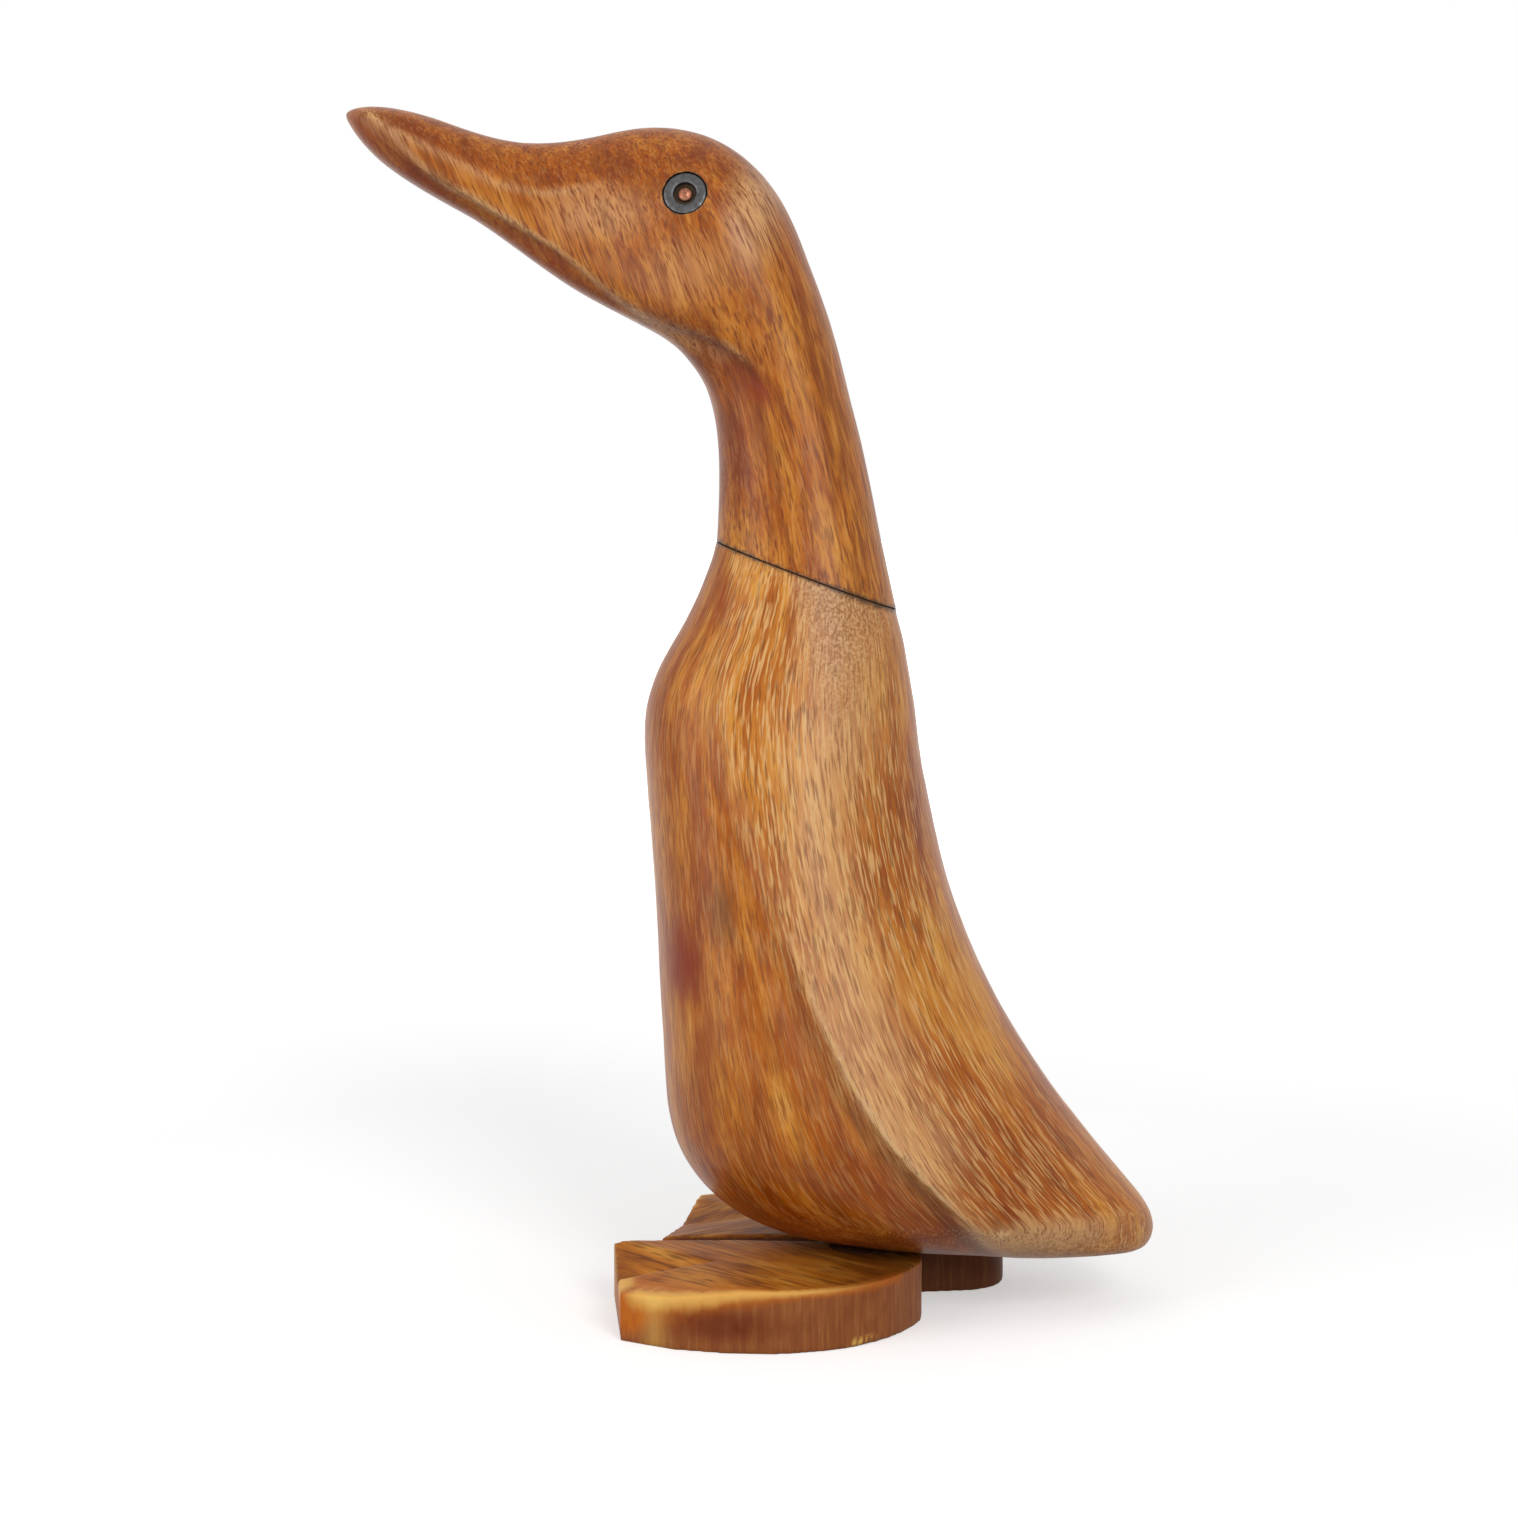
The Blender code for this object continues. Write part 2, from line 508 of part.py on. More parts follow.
def eye(name, side, head, middle, collection, cutters, steel, copper):
    """The ring and the nail on one side of the head; side is -1 for the left eye and 1 for the right."""
    surface, facing = surface_at(
        head, middle.x - EYE_FORWARD_OF_JOINT, middle.z + EYE_ABOVE_JOINT, side)
    floor = surface - facing * EYE_RECESS_DEPTH
    outer, inner, soft = EYE_RING_OUTER_DIAMETER / 2, EYE_RING_HOLE_DIAMETER / 2, EYE_RING_ROUND
    thick = EYE_RING_THICKNESS
    ring = turned(f"{name}_ring", [
        (inner, thick - soft), (inner + soft, thick), (outer - soft, thick), (outer, thick - soft),
        (outer, 0.0), (inner, 0.0)], collection, steel, closed=True)
    placed(ring, floor + facing * SEAT_GAP, facing)
    shade(ring)

    head_radius, shank = EYE_NAIL_HEAD_DIAMETER / 2, EYE_NAIL_SHANK_DIAMETER / 2
    dome = [(head_radius * math.sin(angle), EYE_NAIL_HEAD_HEIGHT * math.cos(angle))
            for angle in (math.pi / 2 * ring / EYE_NAIL_HEAD_RINGS for ring in range(EYE_NAIL_HEAD_RINGS + 1))]
    nail = turned(f"{name}_nail", dome + [
        (shank, 0.0), (shank, EYE_NAIL_POINT_LENGTH - EYE_NAIL_LENGTH), (0.0, -EYE_NAIL_LENGTH)],
        collection, copper)
    placed(nail, floor + facing * SEAT_GAP, facing)
    shade(nail)

    over = 2 * EYE_RECESS_DEPTH + EYE_RING_OUTER_DIAMETER
    recess = turned(f"{name}_recess", [
        (0.0, over), (outer + BORE_PLAY, over), (outer + BORE_PLAY, 0.0), (shank + BORE_PLAY, 0.0),
        (shank + BORE_PLAY, -EYE_NAIL_LENGTH - BORE_PLAY), (0.0, -EYE_NAIL_LENGTH - BORE_PLAY)], cutters)
    placed(as_cutter(recess), floor, facing)
    cut(head, recess)


def stand_on_origin(pieces, everything):
    """Parents every piece and cutter to an empty and moves it, so that the origin is under the middle."""
    bpy.context.view_layer.update()
    depsgraph = bpy.context.evaluated_depsgraph_get()
    corners = []
    for obj in pieces:
        shown = obj.evaluated_get(depsgraph)
        corners += [shown.matrix_world @ vertex.co for vertex in shown.to_mesh().vertices]
        shown.to_mesh_clear()
    low = Vector(min(corner[axis] for corner in corners) for axis in range(3))
    high = Vector(max(corner[axis] for corner in corners) for axis in range(3))
    stand = bpy.data.objects.new("duck", None)
    bpy.context.scene.collection.objects.link(stand)
    for obj in everything:
        obj.parent = stand
    stand.location = (-(low.x + high.x) / 2, -(low.y + high.y) / 2, -low.z)


def main():
    clear_scene()
    collection = new_collection("bamboo_root_duck")
    cutters = new_collection("cutters")
    root_wood = material("varnished_bamboo_root", (0.42, 0.17, 0.045), 0.35)
    foot_wood = material("varnished_foot_wood", (0.27, 0.10, 0.03), 0.45)
    dowel_wood = material("beech_dowel", (0.60, 0.42, 0.24), 0.6)
    ring_steel = material("blued_steel", (0.09, 0.11, 0.13), 0.45, 1.0)
    nail_copper = material("copper", (0.35, 0.16, 0.10), 0.4, 1.0)
    screw_steel = material("zinc_plated_steel", (0.55, 0.55, 0.52), 0.35, 1.0)

    body, head, middle, upward = bodies(collection, root_wood)
    neck_dowel(body, head, middle, upward, collection, cutters, dowel_wood)
    fit_foot("left_foot", LEFT_FOOT, True, body, collection, cutters, foot_wood, screw_steel)
    fit_foot("right_foot", RIGHT_FOOT, False, body, collection, cutters, foot_wood, screw_steel)
    eye("left_eye", -1, head, middle, collection, cutters, ring_steel, nail_copper)
    eye("right_eye", 1, head, middle, collection, cutters, ring_steel, nail_copper)
    stand_on_origin(list(collection.objects), list(collection.objects) + list(cutters.objects))


main()
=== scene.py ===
"""The looks of a bamboo root duck carving: varnished root wood with its pale fibres, sawn web feet, the dark
filler in the neck joint, and the washer and nail that make each eye.

Metres, +Z up. The duck looks along -X and the camera stands on its left side, at -Y.
"""

import math

import bpy
from mathutils import Matrix, Vector, noise
from mathutils.kdtree import KDTree


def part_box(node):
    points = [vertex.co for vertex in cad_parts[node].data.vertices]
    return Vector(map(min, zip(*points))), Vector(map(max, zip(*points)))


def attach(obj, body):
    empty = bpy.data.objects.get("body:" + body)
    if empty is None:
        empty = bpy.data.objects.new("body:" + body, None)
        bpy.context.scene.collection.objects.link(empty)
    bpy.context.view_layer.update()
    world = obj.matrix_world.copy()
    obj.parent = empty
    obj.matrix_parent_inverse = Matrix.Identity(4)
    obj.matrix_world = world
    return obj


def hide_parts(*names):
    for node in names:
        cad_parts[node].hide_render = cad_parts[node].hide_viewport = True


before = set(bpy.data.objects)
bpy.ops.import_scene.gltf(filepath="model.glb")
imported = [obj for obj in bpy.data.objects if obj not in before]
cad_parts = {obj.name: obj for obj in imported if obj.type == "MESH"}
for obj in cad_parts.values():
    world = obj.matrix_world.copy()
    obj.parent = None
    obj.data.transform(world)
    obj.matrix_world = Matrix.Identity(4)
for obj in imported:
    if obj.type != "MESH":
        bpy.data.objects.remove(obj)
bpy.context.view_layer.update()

MM = 0.001

# The plane down the middle of the body and head
MIDDLE_Y = 1.09 * MM

# The flat sawn faces of the neck joint: a point on them, and the way up the neck
JOINT_MIDDLE = Vector((12.5, 1.1, 175.75)) * MM
JOINT_UP = Vector((0.351, 0.0, 0.936))

# The camera stands where the photograph was taken from
CAMERA_PLACE = Vector((0.0473, -0.6573, 0.1900))
CAMERA_TARGET = Vector((0.0012, 0.0011, 0.1314))
CAMERA_LENS = 65.22
CAMERA_SENSOR = 36.0

# The lamps point at the middle of the duck. The white room lights it less than it shows to the camera
LAMPS_AIM = Vector((0.0, 0.0, 0.13))
ROOM_LIGHT = 0.48

# The paper glows this much near the duck, up to the first distance, and wholly from the second one on
PAPER_GLOW = 0.44
GLOW_FROM = 0.25
GLOW_WHOLLY_FROM = 1.2

# Size of the faces that the knife and the sandpaper work on
CARVING_FACE = 0.80 * MM
FOOT_FACE = 0.62 * MM

# Corners of a mesh that are closer than this are one corner
MERGE_WITHIN = 0.01 * MM

# Edges that turn by more than this stay sharp, in degrees
CARVED_EDGE = 50
BOARD_EDGE = 35
METAL_EDGE = 60

# The saw took this much wood at the neck joint
SAW_CUT = 0.3 * MM

# The rod that fills the bores of the neck dowel in the looks, a little wider and longer than they are
BORE_RADIUS = 6 * MM
BORE_HALF_LENGTH = 22 * MM

# The recess of an eye, round the washer, and the blank that fills the node's own recess before it is cut
RECESS_RADIUS = 5.25 * MM
WASHER_THICKNESS = 1.1 * MM
RECESS_BLANK_DEPTH = 14 * MM

# The body's outline is measured in steps of height. The grain follows it between these levels
OUTLINE_STEP = 2 * MM
OUTLINE_LOWEST = 24 * MM
OUTLINE_HIGHEST = 190 * MM

# The body's grain is drawn in an even block of this size and follows the body's outline from there
BLOCK_LENGTH = 62 * MM
BLOCK_HALF_WIDTH = 33 * MM

# The neck's grain leans by this share of the height above here, and curves by so much a metre
NECK_GRAIN_START = 170 * MM
NECK_GRAIN_LEAN = 0.14
NECK_GRAIN_CURVE = 1.6

# Lines of the carving in the side view, in millimetres (x, z)
WING_EDGE = [(-4.9, 170.2), (-5.3, 161.0), (-5.7, 151.9), (-5.5, 142.8), (-3.4, 132.6), (0.2, 124.8),
             (5.0, 108.9), (10.9, 90.8), (17.4, 75.1), (24.8, 59.1), (33.5, 46.5), (43.2, 35.7), (50.1, 27.0),
             (56.0, 20.9), (62.0, 15.5)]
SCOOP = [(5.3, 166.6), (3.8, 158.8), (2.3, 150.2)]
# Along this line a painted sheen lightens the wing
SHEEN_BAND = [(21.4, 170.3), (23.8, 156.4), (24.0, 142.7), (19.6, 129.2), (17.0, 118.0), (17.6, 106.6),
              (22.2, 92.9), (26.9, 79.3), (31.6, 65.8), (36.2, 54.5), (43.0, 43.1)]
MOUTH = [(-93.0, 286.0), (-89.1, 282.8), (-82.3, 275.6), (-76.6, 270.1), (-71.2, 266.1), (-66.1, 263.7),
         (-61.7, 261.0), (-56.6, 258.0), (-51.6, 255.0), (-45.9, 251.6), (-37.5, 244.6), (-33.2, 240.8),
         (-28.9, 238.0), (-24.6, 235.3), (-20.6, 234.0)]
JAW = [(-20.6, 236.2), (-13.5, 233.3), (-7.6, 229.7), (-3.5, 226.7), (1.9, 221.9), (4.9, 218.9)]
# The bill's carved ridge, with a painted highlight below it and painted shade above it
BILL_RIDGE = [(-86.4, 281.7), (-77.6, 277.4), (-68.2, 272.8), (-58.8, 267.6), (-48.0, 265.5),
              (-39.5, 266.5), (-30.0, 268.5)]
# Along this line a painted highlight runs down the throat
THROAT_HIGHLIGHT = [(-27.3, 236.4), (-16.3, 231.5), (-11.5, 229.2), (-6.4, 226.8)]

# Soft spots of the side view: how strong, or below 0 how much less, then the middle (x, z) and the reach
# (x, z) in millimetres
BREAST_RED = [(0.85, -14.8, 86.0, 7, 15), (0.5, -8.8, 64, 4, 26), (0.55, -6.4, 171, 4, 14)]
BREAST_GREY = [(0.4, -5.4, 98.0, 5, 11)]
# A painted highlight under the tail, where it catches light off the floor, and a small rubbed spot where the
# wing's edge ends
TAIL_SHEEN_AND_RUB = [(0.7, 70, 22, 24, 7), (0.8, 59.4, 23.9, 3.0, 1.6)]
TAIL_CUT_ACROSS = [(0.5, 80, 18, 30, 9)]
TAIL_FEWER_FIBRES = [(0.4, 66, 38, 40, 40)]
BODY_OILED = [(0.24, 66, 42, 34, 30), (-0.12, -20, 158, 12, 20), (-0.35, 0, 176, 9, 9),
              (-0.2, 20, 158, 16, 20), (0.2, 36, 110, 10, 40)]
JAW_RED = [(0.4, 2.5, 219, 6, 5)]
HEAD_SHEEN = [(0.6, 1, 260, 9, 18), (0.35, -36, 260, 18, 9), (0.25, -14, 246, 14, 12)]
NECK_OILED = [(0.25, -2, 212, 6, 16)]

# The same on the sides of the feet, with x measured from the toe
FOOT_RED = [(0.75, 30, 6.5, 18, 6)]
FOOT_WARM = [(1.0, 7, 6.5, 7, 7)]
FOOT_CHIPS = [(0.8, 61, 1.2, 5, 1.6)]


def deselect_all():
    if bpy.context.mode != "OBJECT":
        bpy.ops.object.mode_set(mode="OBJECT")
    for obj in bpy.context.selected_objects:
        obj.select_set(False)


def take_up(obj):
    deselect_all()
    obj.select_set(True)
    bpy.context.view_layer.objects.active = obj


def apply_modifier(obj, kind, **settings):
    take_up(obj)
    modifier = obj.modifiers.new(kind.lower(), kind)
    for name, value in settings.items():
        setattr(modifier, name, value)
    bpy.ops.object.modifier_apply(modifier=modifier.name)


def fasten(piece, material, slot, *nodes):
    """Gives a finished piece its material and sets it on the duck in place of its CAD nodes."""
    piece.data.materials.clear()
    piece.data.materials.append(material)
    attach(piece, "root")
    if nodes:
        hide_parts(*nodes)


def smoothstep(low, high, value):
    part = min(max((value - low) / (high - low), 0.0), 1.0)
    return part * part * (3 - 2 * part)


def hump(value, middle, reach):
    """1 at the middle, falling off smoothly on both sides."""
    return math.exp(-((value - middle) / reach) ** 2)


def from_line(place, line):
    """How far a place is from a line of the side view, in millimetres, above 0 to the line's left as it runs,
    and how far along the line it is, from 0 to 1."""
    x, z = place.x / MM, place.z / MM
    best, side, along = 1e9, 1.0, 0.0
    count = len(line) - 1
    for index in range(count):
        ax, az = line[index]
        dx, dz = line[index + 1][0] - ax, line[index + 1][1] - az
        part = min(max(((x - ax) * dx + (z - az) * dz) / (dx * dx + dz * dz), 0.0), 1.0)
        off = math.hypot(x - ax - dx * part, z - az - dz * part)
        if off < best:
            best, along = off, (index + part) / count
            side = 1.0 if dx * (z - az) - dz * (x - ax) >= 0 else -1.0
    return best * side, along


def spot(place, x, z, reach_x, reach_z):
    """1 in the middle of a soft spot of the side view, given in millimetres, and 0 outside its reach."""
    off = math.hypot((place.x / MM - x) / reach_x, (place.z / MM - z) / reach_z)
    return 1 - smoothstep(0.2, 1.0, off)


def spots(place, listed):
    """What a list of soft spots adds up to at a place."""
    return sum(strength * spot(place, *where) for strength, *where in listed)


def above_joint(place):
    """How far a place is above the middle of the neck joint, in millimetres, and below 0 under it."""
    return (place - JOINT_MIDDLE).dot(JOINT_UP) / MM


def joint_smear(place, width, more_behind):
    """1 where filler has smeared over the edges of the neck joint. The width of its ragged line is in
    millimetres, and grows towards the back."""
    width += more_behind * smoothstep(12, 28, place.x / MM)
    return 1 - smoothstep(0.25, width, abs(above_joint(place)) + 0.5 * noise.noise(place / (2.5 * MM)))


# Wood pieces

def shade_smooth(piece):
    piece.data.polygons.foreach_set("use_smooth", [True] * len(piece.data.polygons))


def fine_copy(name, node, crease_from):
    """A copy of a CAD node, merged and subdivided, so that its facets go. Its edges stay sharp where they
    turn by more than so many degrees."""
    piece = bpy.data.objects.new(name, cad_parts[node].data.copy())
    bpy.context.scene.collection.objects.link(piece)
    take_up(piece)
    bpy.ops.object.mode_set(mode="EDIT")
    bpy.ops.mesh.select_all(action="SELECT")
    bpy.ops.mesh.remove_doubles(threshold=MERGE_WITHIN)
    bpy.ops.mesh.tris_convert_to_quads(face_threshold=math.pi, shape_threshold=math.pi)
    bpy.ops.mesh.select_all(action="DESELECT")
    bpy.ops.mesh.edges_select_sharp(sharpness=math.radians(crease_from))
    bpy.ops.transform.edge_crease(value=1.0)
    bpy.ops.object.mode_set(mode="OBJECT")
    apply_modifier(piece, "SUBSURF", levels=2, render_levels=2)
    shade_smooth(piece)
    return piece


def even_faces(piece, face_size):
    """Turns a piece into small even faces, merging what overlaps, with its edges eased as sandpaper does."""
    apply_modifier(piece, "REMESH", mode="VOXEL", voxel_size=face_size, adaptivity=0.0)
    apply_modifier(piece, "SMOOTH", factor=0.5, iterations=4)
    shade_smooth(piece)


def rod(name, place, along, radius, start, end):
    """A round rod on an axis, from one distance along it to another."""
    deselect_all()
    bpy.ops.mesh.primitive_cylinder_add(
        vertices=96, radius=radius, depth=end - start, location=(0.0, 0.0, 0.0))
    piece = bpy.context.object
    piece.name = name
    turn = along.to_track_quat("Z", "Y").to_matrix().to_4x4()
    piece.data.transform(Matrix.Translation(place + along * (start + end) / 2) @ turn)
    return piece


def eye_axis(side):
    """Middle of the washer's outer face, and the way it faces."""
    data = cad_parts[side + "_eye_ring"].data
    outward = Vector((0.0, -1.0 if side == "left" else 1.0, 0.0))
    flat = [face for face in data.polygons if face.normal.dot(outward) > 0.8]
    widest = max(flat, key=lambda face: sum(
        other.area for other in flat if other.normal.dot(face.normal) > 0.9999))
    facing = widest.normal.copy()
    middle = sum((corner.co for corner in data.vertices), Vector()) / len(data.vertices)
    top = max(corner.co.dot(facing) for corner in data.vertices)
    return middle + facing * (top - middle.dot(facing)), facing


EYES = {side: eye_axis(side) for side in ("left", "right")}


def joint_plug(name, start, end, inset):
    """A plug with the outline of the neck joint, from one level to another and a little inside the outline.
    It is raised from the body's own sawn face."""
    piece = bpy.data.objects.new(name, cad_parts["body"].data.copy())
    bpy.context.scene.collection.objects.link(piece)
    take_up(piece)
    bpy.ops.object.mode_set(mode="EDIT")
    bpy.ops.mesh.select_mode(type="FACE")
    bpy.ops.mesh.select_all(action="SELECT")
    bpy.ops.mesh.remove_doubles(threshold=MERGE_WITHIN)
    bpy.ops.object.mode_set(mode="OBJECT")
    for face in piece.data.polygons:
        sawn = abs(above_joint(face.center)) < 0.4 and face.normal.dot(JOINT_UP) > 0.99
        face.select = not sawn
    bpy.ops.object.mode_set(mode="EDIT")
    bpy.ops.mesh.delete(type="FACE")
    bpy.ops.mesh.select_all(action="SELECT")
    bpy.ops.mesh.extrude_region_move(TRANSFORM_OT_translate={"value": JOINT_UP * (end - start)})
    bpy.ops.mesh.select_all(action="SELECT")
    bpy.ops.mesh.normals_make_consistent(inside=False)
    bpy.ops.object.mode_set(mode="OBJECT")
    middle = sum((corner.co for corner in piece.data.vertices), Vector()) / len(piece.data.vertices)
    for corner in piece.data.vertices:
        out = corner.co - middle
        out -= JOINT_UP * out.dot(JOINT_UP)
        ragged = 1 + 0.6 * noise.noise(corner.co / (3 * MM))
        corner.co += JOINT_UP * (start + SAW_CUT / 2) - out.normalized() * inset * ragged
    return piece


def whole_duck():
    """Neck and body in one closed form without the dowel's bore, and with the eye recesses cut clean."""
    piece = fine_copy("duck_blank", "body", CARVED_EDGE)
    parts = [fine_copy("neck_blank", "head_neck", CARVED_EDGE),
             joint_plug("joint_blank", -0.5 * MM, 0.5 * MM, 0.0),
             rod("bore_blank", JOINT_MIDDLE, JOINT_UP, BORE_RADIUS, -BORE_HALF_LENGTH, BORE_HALF_LENGTH)]
    for side, (place, facing) in EYES.items():
        radius = RECESS_RADIUS + 0.1 * MM
        parts.append(rod(side + "_recess_blank", place, facing, radius, -RECESS_BLANK_DEPTH, 0.0))
    take_up(piece)
    for part in parts:
        part.select_set(True)
    bpy.ops.object.join()
    even_faces(piece, CARVING_FACE)
    for side, (place, facing) in EYES.items():
        cutter = rod(side + "_recess_cutter", place, facing, RECESS_RADIUS, -WASHER_THICKNESS, 6 * MM)
        apply_modifier(piece, "BOOLEAN", object=cutter, operation="DIFFERENCE", solver="EXACT")
        bpy.data.objects.remove(cutter)
    return piece


def sawn_off(name, duck, keep_upper):
    """The part of the duck above or below the saw cut of the neck joint."""
    piece = bpy.data.objects.new(name, duck.data.copy())
    bpy.context.scene.collection.objects.link(piece)
    take_up(piece)
    level = SAW_CUT / 2 if keep_upper else -SAW_CUT / 2
    bpy.ops.object.mode_set(mode="EDIT")
    bpy.ops.mesh.select_all(action="SELECT")
    bpy.ops.mesh.bisect(plane_co=JOINT_MIDDLE + JOINT_UP * level, plane_no=JOINT_UP, use_fill=True,
                        clear_inner=keep_upper, clear_outer=not keep_upper, threshold=MERGE_WITHIN)
    bpy.ops.object.mode_set(mode="OBJECT")
    return piece


def hollowness(piece):
    """For each corner of the mesh, how deep it lies in a hollow (above 0) or how far out it stands on an edge
    (below 0)."""
    corners = piece.data.vertices
    sums = [Vector() for _ in corners]
    counts = [0] * len(sums)
    for edge in piece.data.edges:
        first, second = edge.vertices
        step = corners[second].co - corners[first].co
        sums[first] += step
        sums[second] -= step
        counts[first] += 1
        counts[second] += 1
    return [total.dot(corner.normal) / max(count, 1) for total, count, corner in zip(sums, counts, corners)]


def write_attributes(piece, grain, tone, finish):
    """Puts the run of the grain, the stains and the painted light and shade on the mesh, for the wood's
    material to read. The grain is a place in the straight wood that the piece was cut from. The tone says how
    red, how pale and how dark the wood is, with painted highlights among the pale and painted shade among the
    dark, and how many pale fibres it shows. Each piece says what its finish holds; on the carvings the oil in
    it also holds painted shade."""
    for name, kind, key, rows in (("grain", "FLOAT_VECTOR", "vector", grain),
                                  ("tone", "FLOAT_COLOR", "color", tone),
                                  ("finish", "FLOAT_COLOR", "color", finish)):
        layer = piece.data.attributes.new(name, kind, "POINT")
        layer.data.foreach_set(key, [part for row in rows for part in row])


def finish_carving(piece, places, grain, tone, finish, wood, node):
    """Moves the corners of a carved piece to their places and gives it its wood."""
    for corner, place in zip(piece.data.vertices, places):
        corner.co = place
    take_up(piece)
    bpy.ops.object.shade_smooth_by_angle(angle=math.radians(CARVED_EDGE))
    write_attributes(piece, grain, tone, finish)
    fasten(piece, wood, "bamboo_root", node)


def clamped(*values):
    return tuple(min(max(value, 0.0), 1.0) for value in values)


def outline_by_height(piece):
    """For each step of height, how far the piece reaches to the front, to the back and to the sides."""
    rows = {}
    for corner in piece.data.vertices:
        x, y, z = corner.co
        row = rows.setdefault(int(z // OUTLINE_STEP), [x, x, 0.0])
        row[0] = min(row[0], x)
        row[1] = max(row[1], x)
        row[2] = max(row[2], abs(y - MIDDLE_Y))
    return rows


def hand_waves(place):
    """The small waves that the knife and the sandpaper leave, in millimetres."""
    return 0.15 * noise.noise(place / (15 * MM)) + 0.05 * noise.noise(place / (5 * MM))


def straight_grain(place, rows):
    """Where a place of the body lies in the even block that the grain is drawn in. The body's outline
    squeezes and widens that block."""
    lowest, highest = int(OUTLINE_LOWEST // OUTLINE_STEP), int(OUTLINE_HIGHEST // OUTLINE_STEP)
    level = min(max(place.z / OUTLINE_STEP - 0.5, lowest), highest)
    low, high = rows[int(level)], rows[min(int(level) + 1, highest)]
    front, back, half = (a + (b - a) * (level - int(level)) for a, b in zip(low, high))
    across = (place.x - front) / (back - front)
    return (across - 0.5) * BLOCK_LENGTH, (place.y - MIDDLE_Y) / half * BLOCK_HALF_WIDTH, place.z


def body_carving(duck, wood):
    piece = sawn_off("body_carving", duck, False)
    rows = outline_by_height(duck)
    grain, tone, finish, moved = [], [], [], []
    for corner, curve in zip(piece.data.vertices, hollowness(piece)):
        place, normal = corner.co.copy(), corner.normal.copy()
        x, z = place.x / MM, place.z / MM
        grain.append(straight_grain(place, rows))

        near = smoothstep(-6 * MM, 6 * MM, MIDDLE_Y - place.y)
        flank = smoothstep(0.2, 0.75, abs(normal.y))
        edge, along = from_line(place, WING_EDGE)
        wing = smoothstep(-5.0, 1.5, edge)
        lower = smoothstep(0.38, 0.7, along)
        from_joint = abs(above_joint(place))

        # Tone: the red stains, the rubbed places and a painted sheen, the dirt and filler, painted shade, and
        # the pale fibres
        red = near * spots(place, BREAST_RED)
        red += 0.12 * (1 - wing) * smoothstep(0.0, 0.3, noise.noise(place / (9 * MM)))
        uneven = 0.8 + 0.8 * noise.noise(place / (2.5 * MM))
        pale = flank * lower * (0.65 * uneven * hump(edge, 0.5, 0.9) + 0.20 * hump(edge, 2.5, 2.5))
        pale += 0.4 * smoothstep(0.02 * MM, 0.06 * MM, -curve)
        # Painted sheen: a pale band behind the wing's edge, where the varnish would gleam
        pale += 0.40 * flank * hump(from_line(place, SHEEN_BAND)[0], 0, 8)
        # The painted highlight under the tail with a small rubbed spot, and the pale filler strip below the
        # joint
        pale += near * (spots(place, TAIL_SHEEN_AND_RUB) + 0.35 * hump(from_joint, 2.0, 1.0) * hump(x, 16, 7))
        # Painted shade in the hollow ahead of the wing's lower edge, and the breast's grey mark
        dark = 0.40 * flank * lower * hump(edge, -2.6, 1.8) + near * spots(place, BREAST_GREY)
        dark += 0.85 * joint_smear(place, 0.7, 0.6)
        # Painted shadow low on the body, just above the feet where it meets them
        dark += 0.8 * (1 - smoothstep(15.2, 19.5, z)) * (1 - smoothstep(38, 50, x))
        fibre = 0.24 + 0.56 * wing * flank * (1 - spots(place, TAIL_FEWER_FIBRES))
        tone.append(clamped(red, pale, dark, fibre))

        # Finish: how much oil has soaked in, with painted shade on the belly ahead of the wing's edge and low
        # down, the cut ends of fibres, how far the body widens, the dark dashes
        ahead = flank * hump(edge, -5.0, 6.0)
        oil = 0.44 + 0.08 * (1 - wing) + 0.20 * ahead * lower
        # Darker low on the belly as painted shade under the body; the listed spots are the oil's own patches
        oil += 0.27 * (1 - wing) * (1 - smoothstep(15, 55, z)) + near * spots(place, BODY_OILED)
        cut_ends = near * (1 - smoothstep(6, 46, from_joint + 2.2 * abs(x - 21))) * smoothstep(8, 15, x)
        cut_ends = max(cut_ends, spots(place, TAIL_CUT_ACROSS))
        wide = 1 - smoothstep(55, 95, z)
        finish.append(clamped(oil, cut_ends, wide, 0.45 * (1 - wing)))

        # Carving: a groove ahead of the wing's edge, and a scoop down the wing's upper front
        wing_cut = 0.50 * hump(edge, -5.0, 3.2) - 0.20 * hump(edge, 0.6, 2.0)
        wing_cut += 0.15 * lower * hump(edge, -2.0, 1.2)
        scooped = 0.45 * hump(from_line(place, SCOOP)[0], 0, 3.5)
        depth = flank * (wing_cut * smoothstep(0.0, 0.12, along) + scooped) * smoothstep(1.0, 5.0, from_joint)
        depth -= hand_waves(place)
        moved.append(place - normal * depth * MM * smoothstep(0.3, 1.5, from_joint))
    finish_carving(piece, moved, grain, tone, finish, wood, "body")


def recess_shade(place):
    """1 on the floor and wall of an eye's recess, which are painted dark as shade."""
    for middle, facing in EYES.values():
        off = place - middle
        height = off.dot(facing)
        from_axis = (off - facing * height).length
        if off.length < 7 * MM and height < -0.1 * MM and from_axis < RECESS_RADIUS + 0.02 * MM:
            return 1.0
    return 0.0


def eye_clear(place):
    """0 in and next to the eye recesses, and 1 away from them."""
    nearest = min((place - middle).length for middle, _ in EYES.values())
    return smoothstep(6.5 * MM, 9 * MM, nearest)


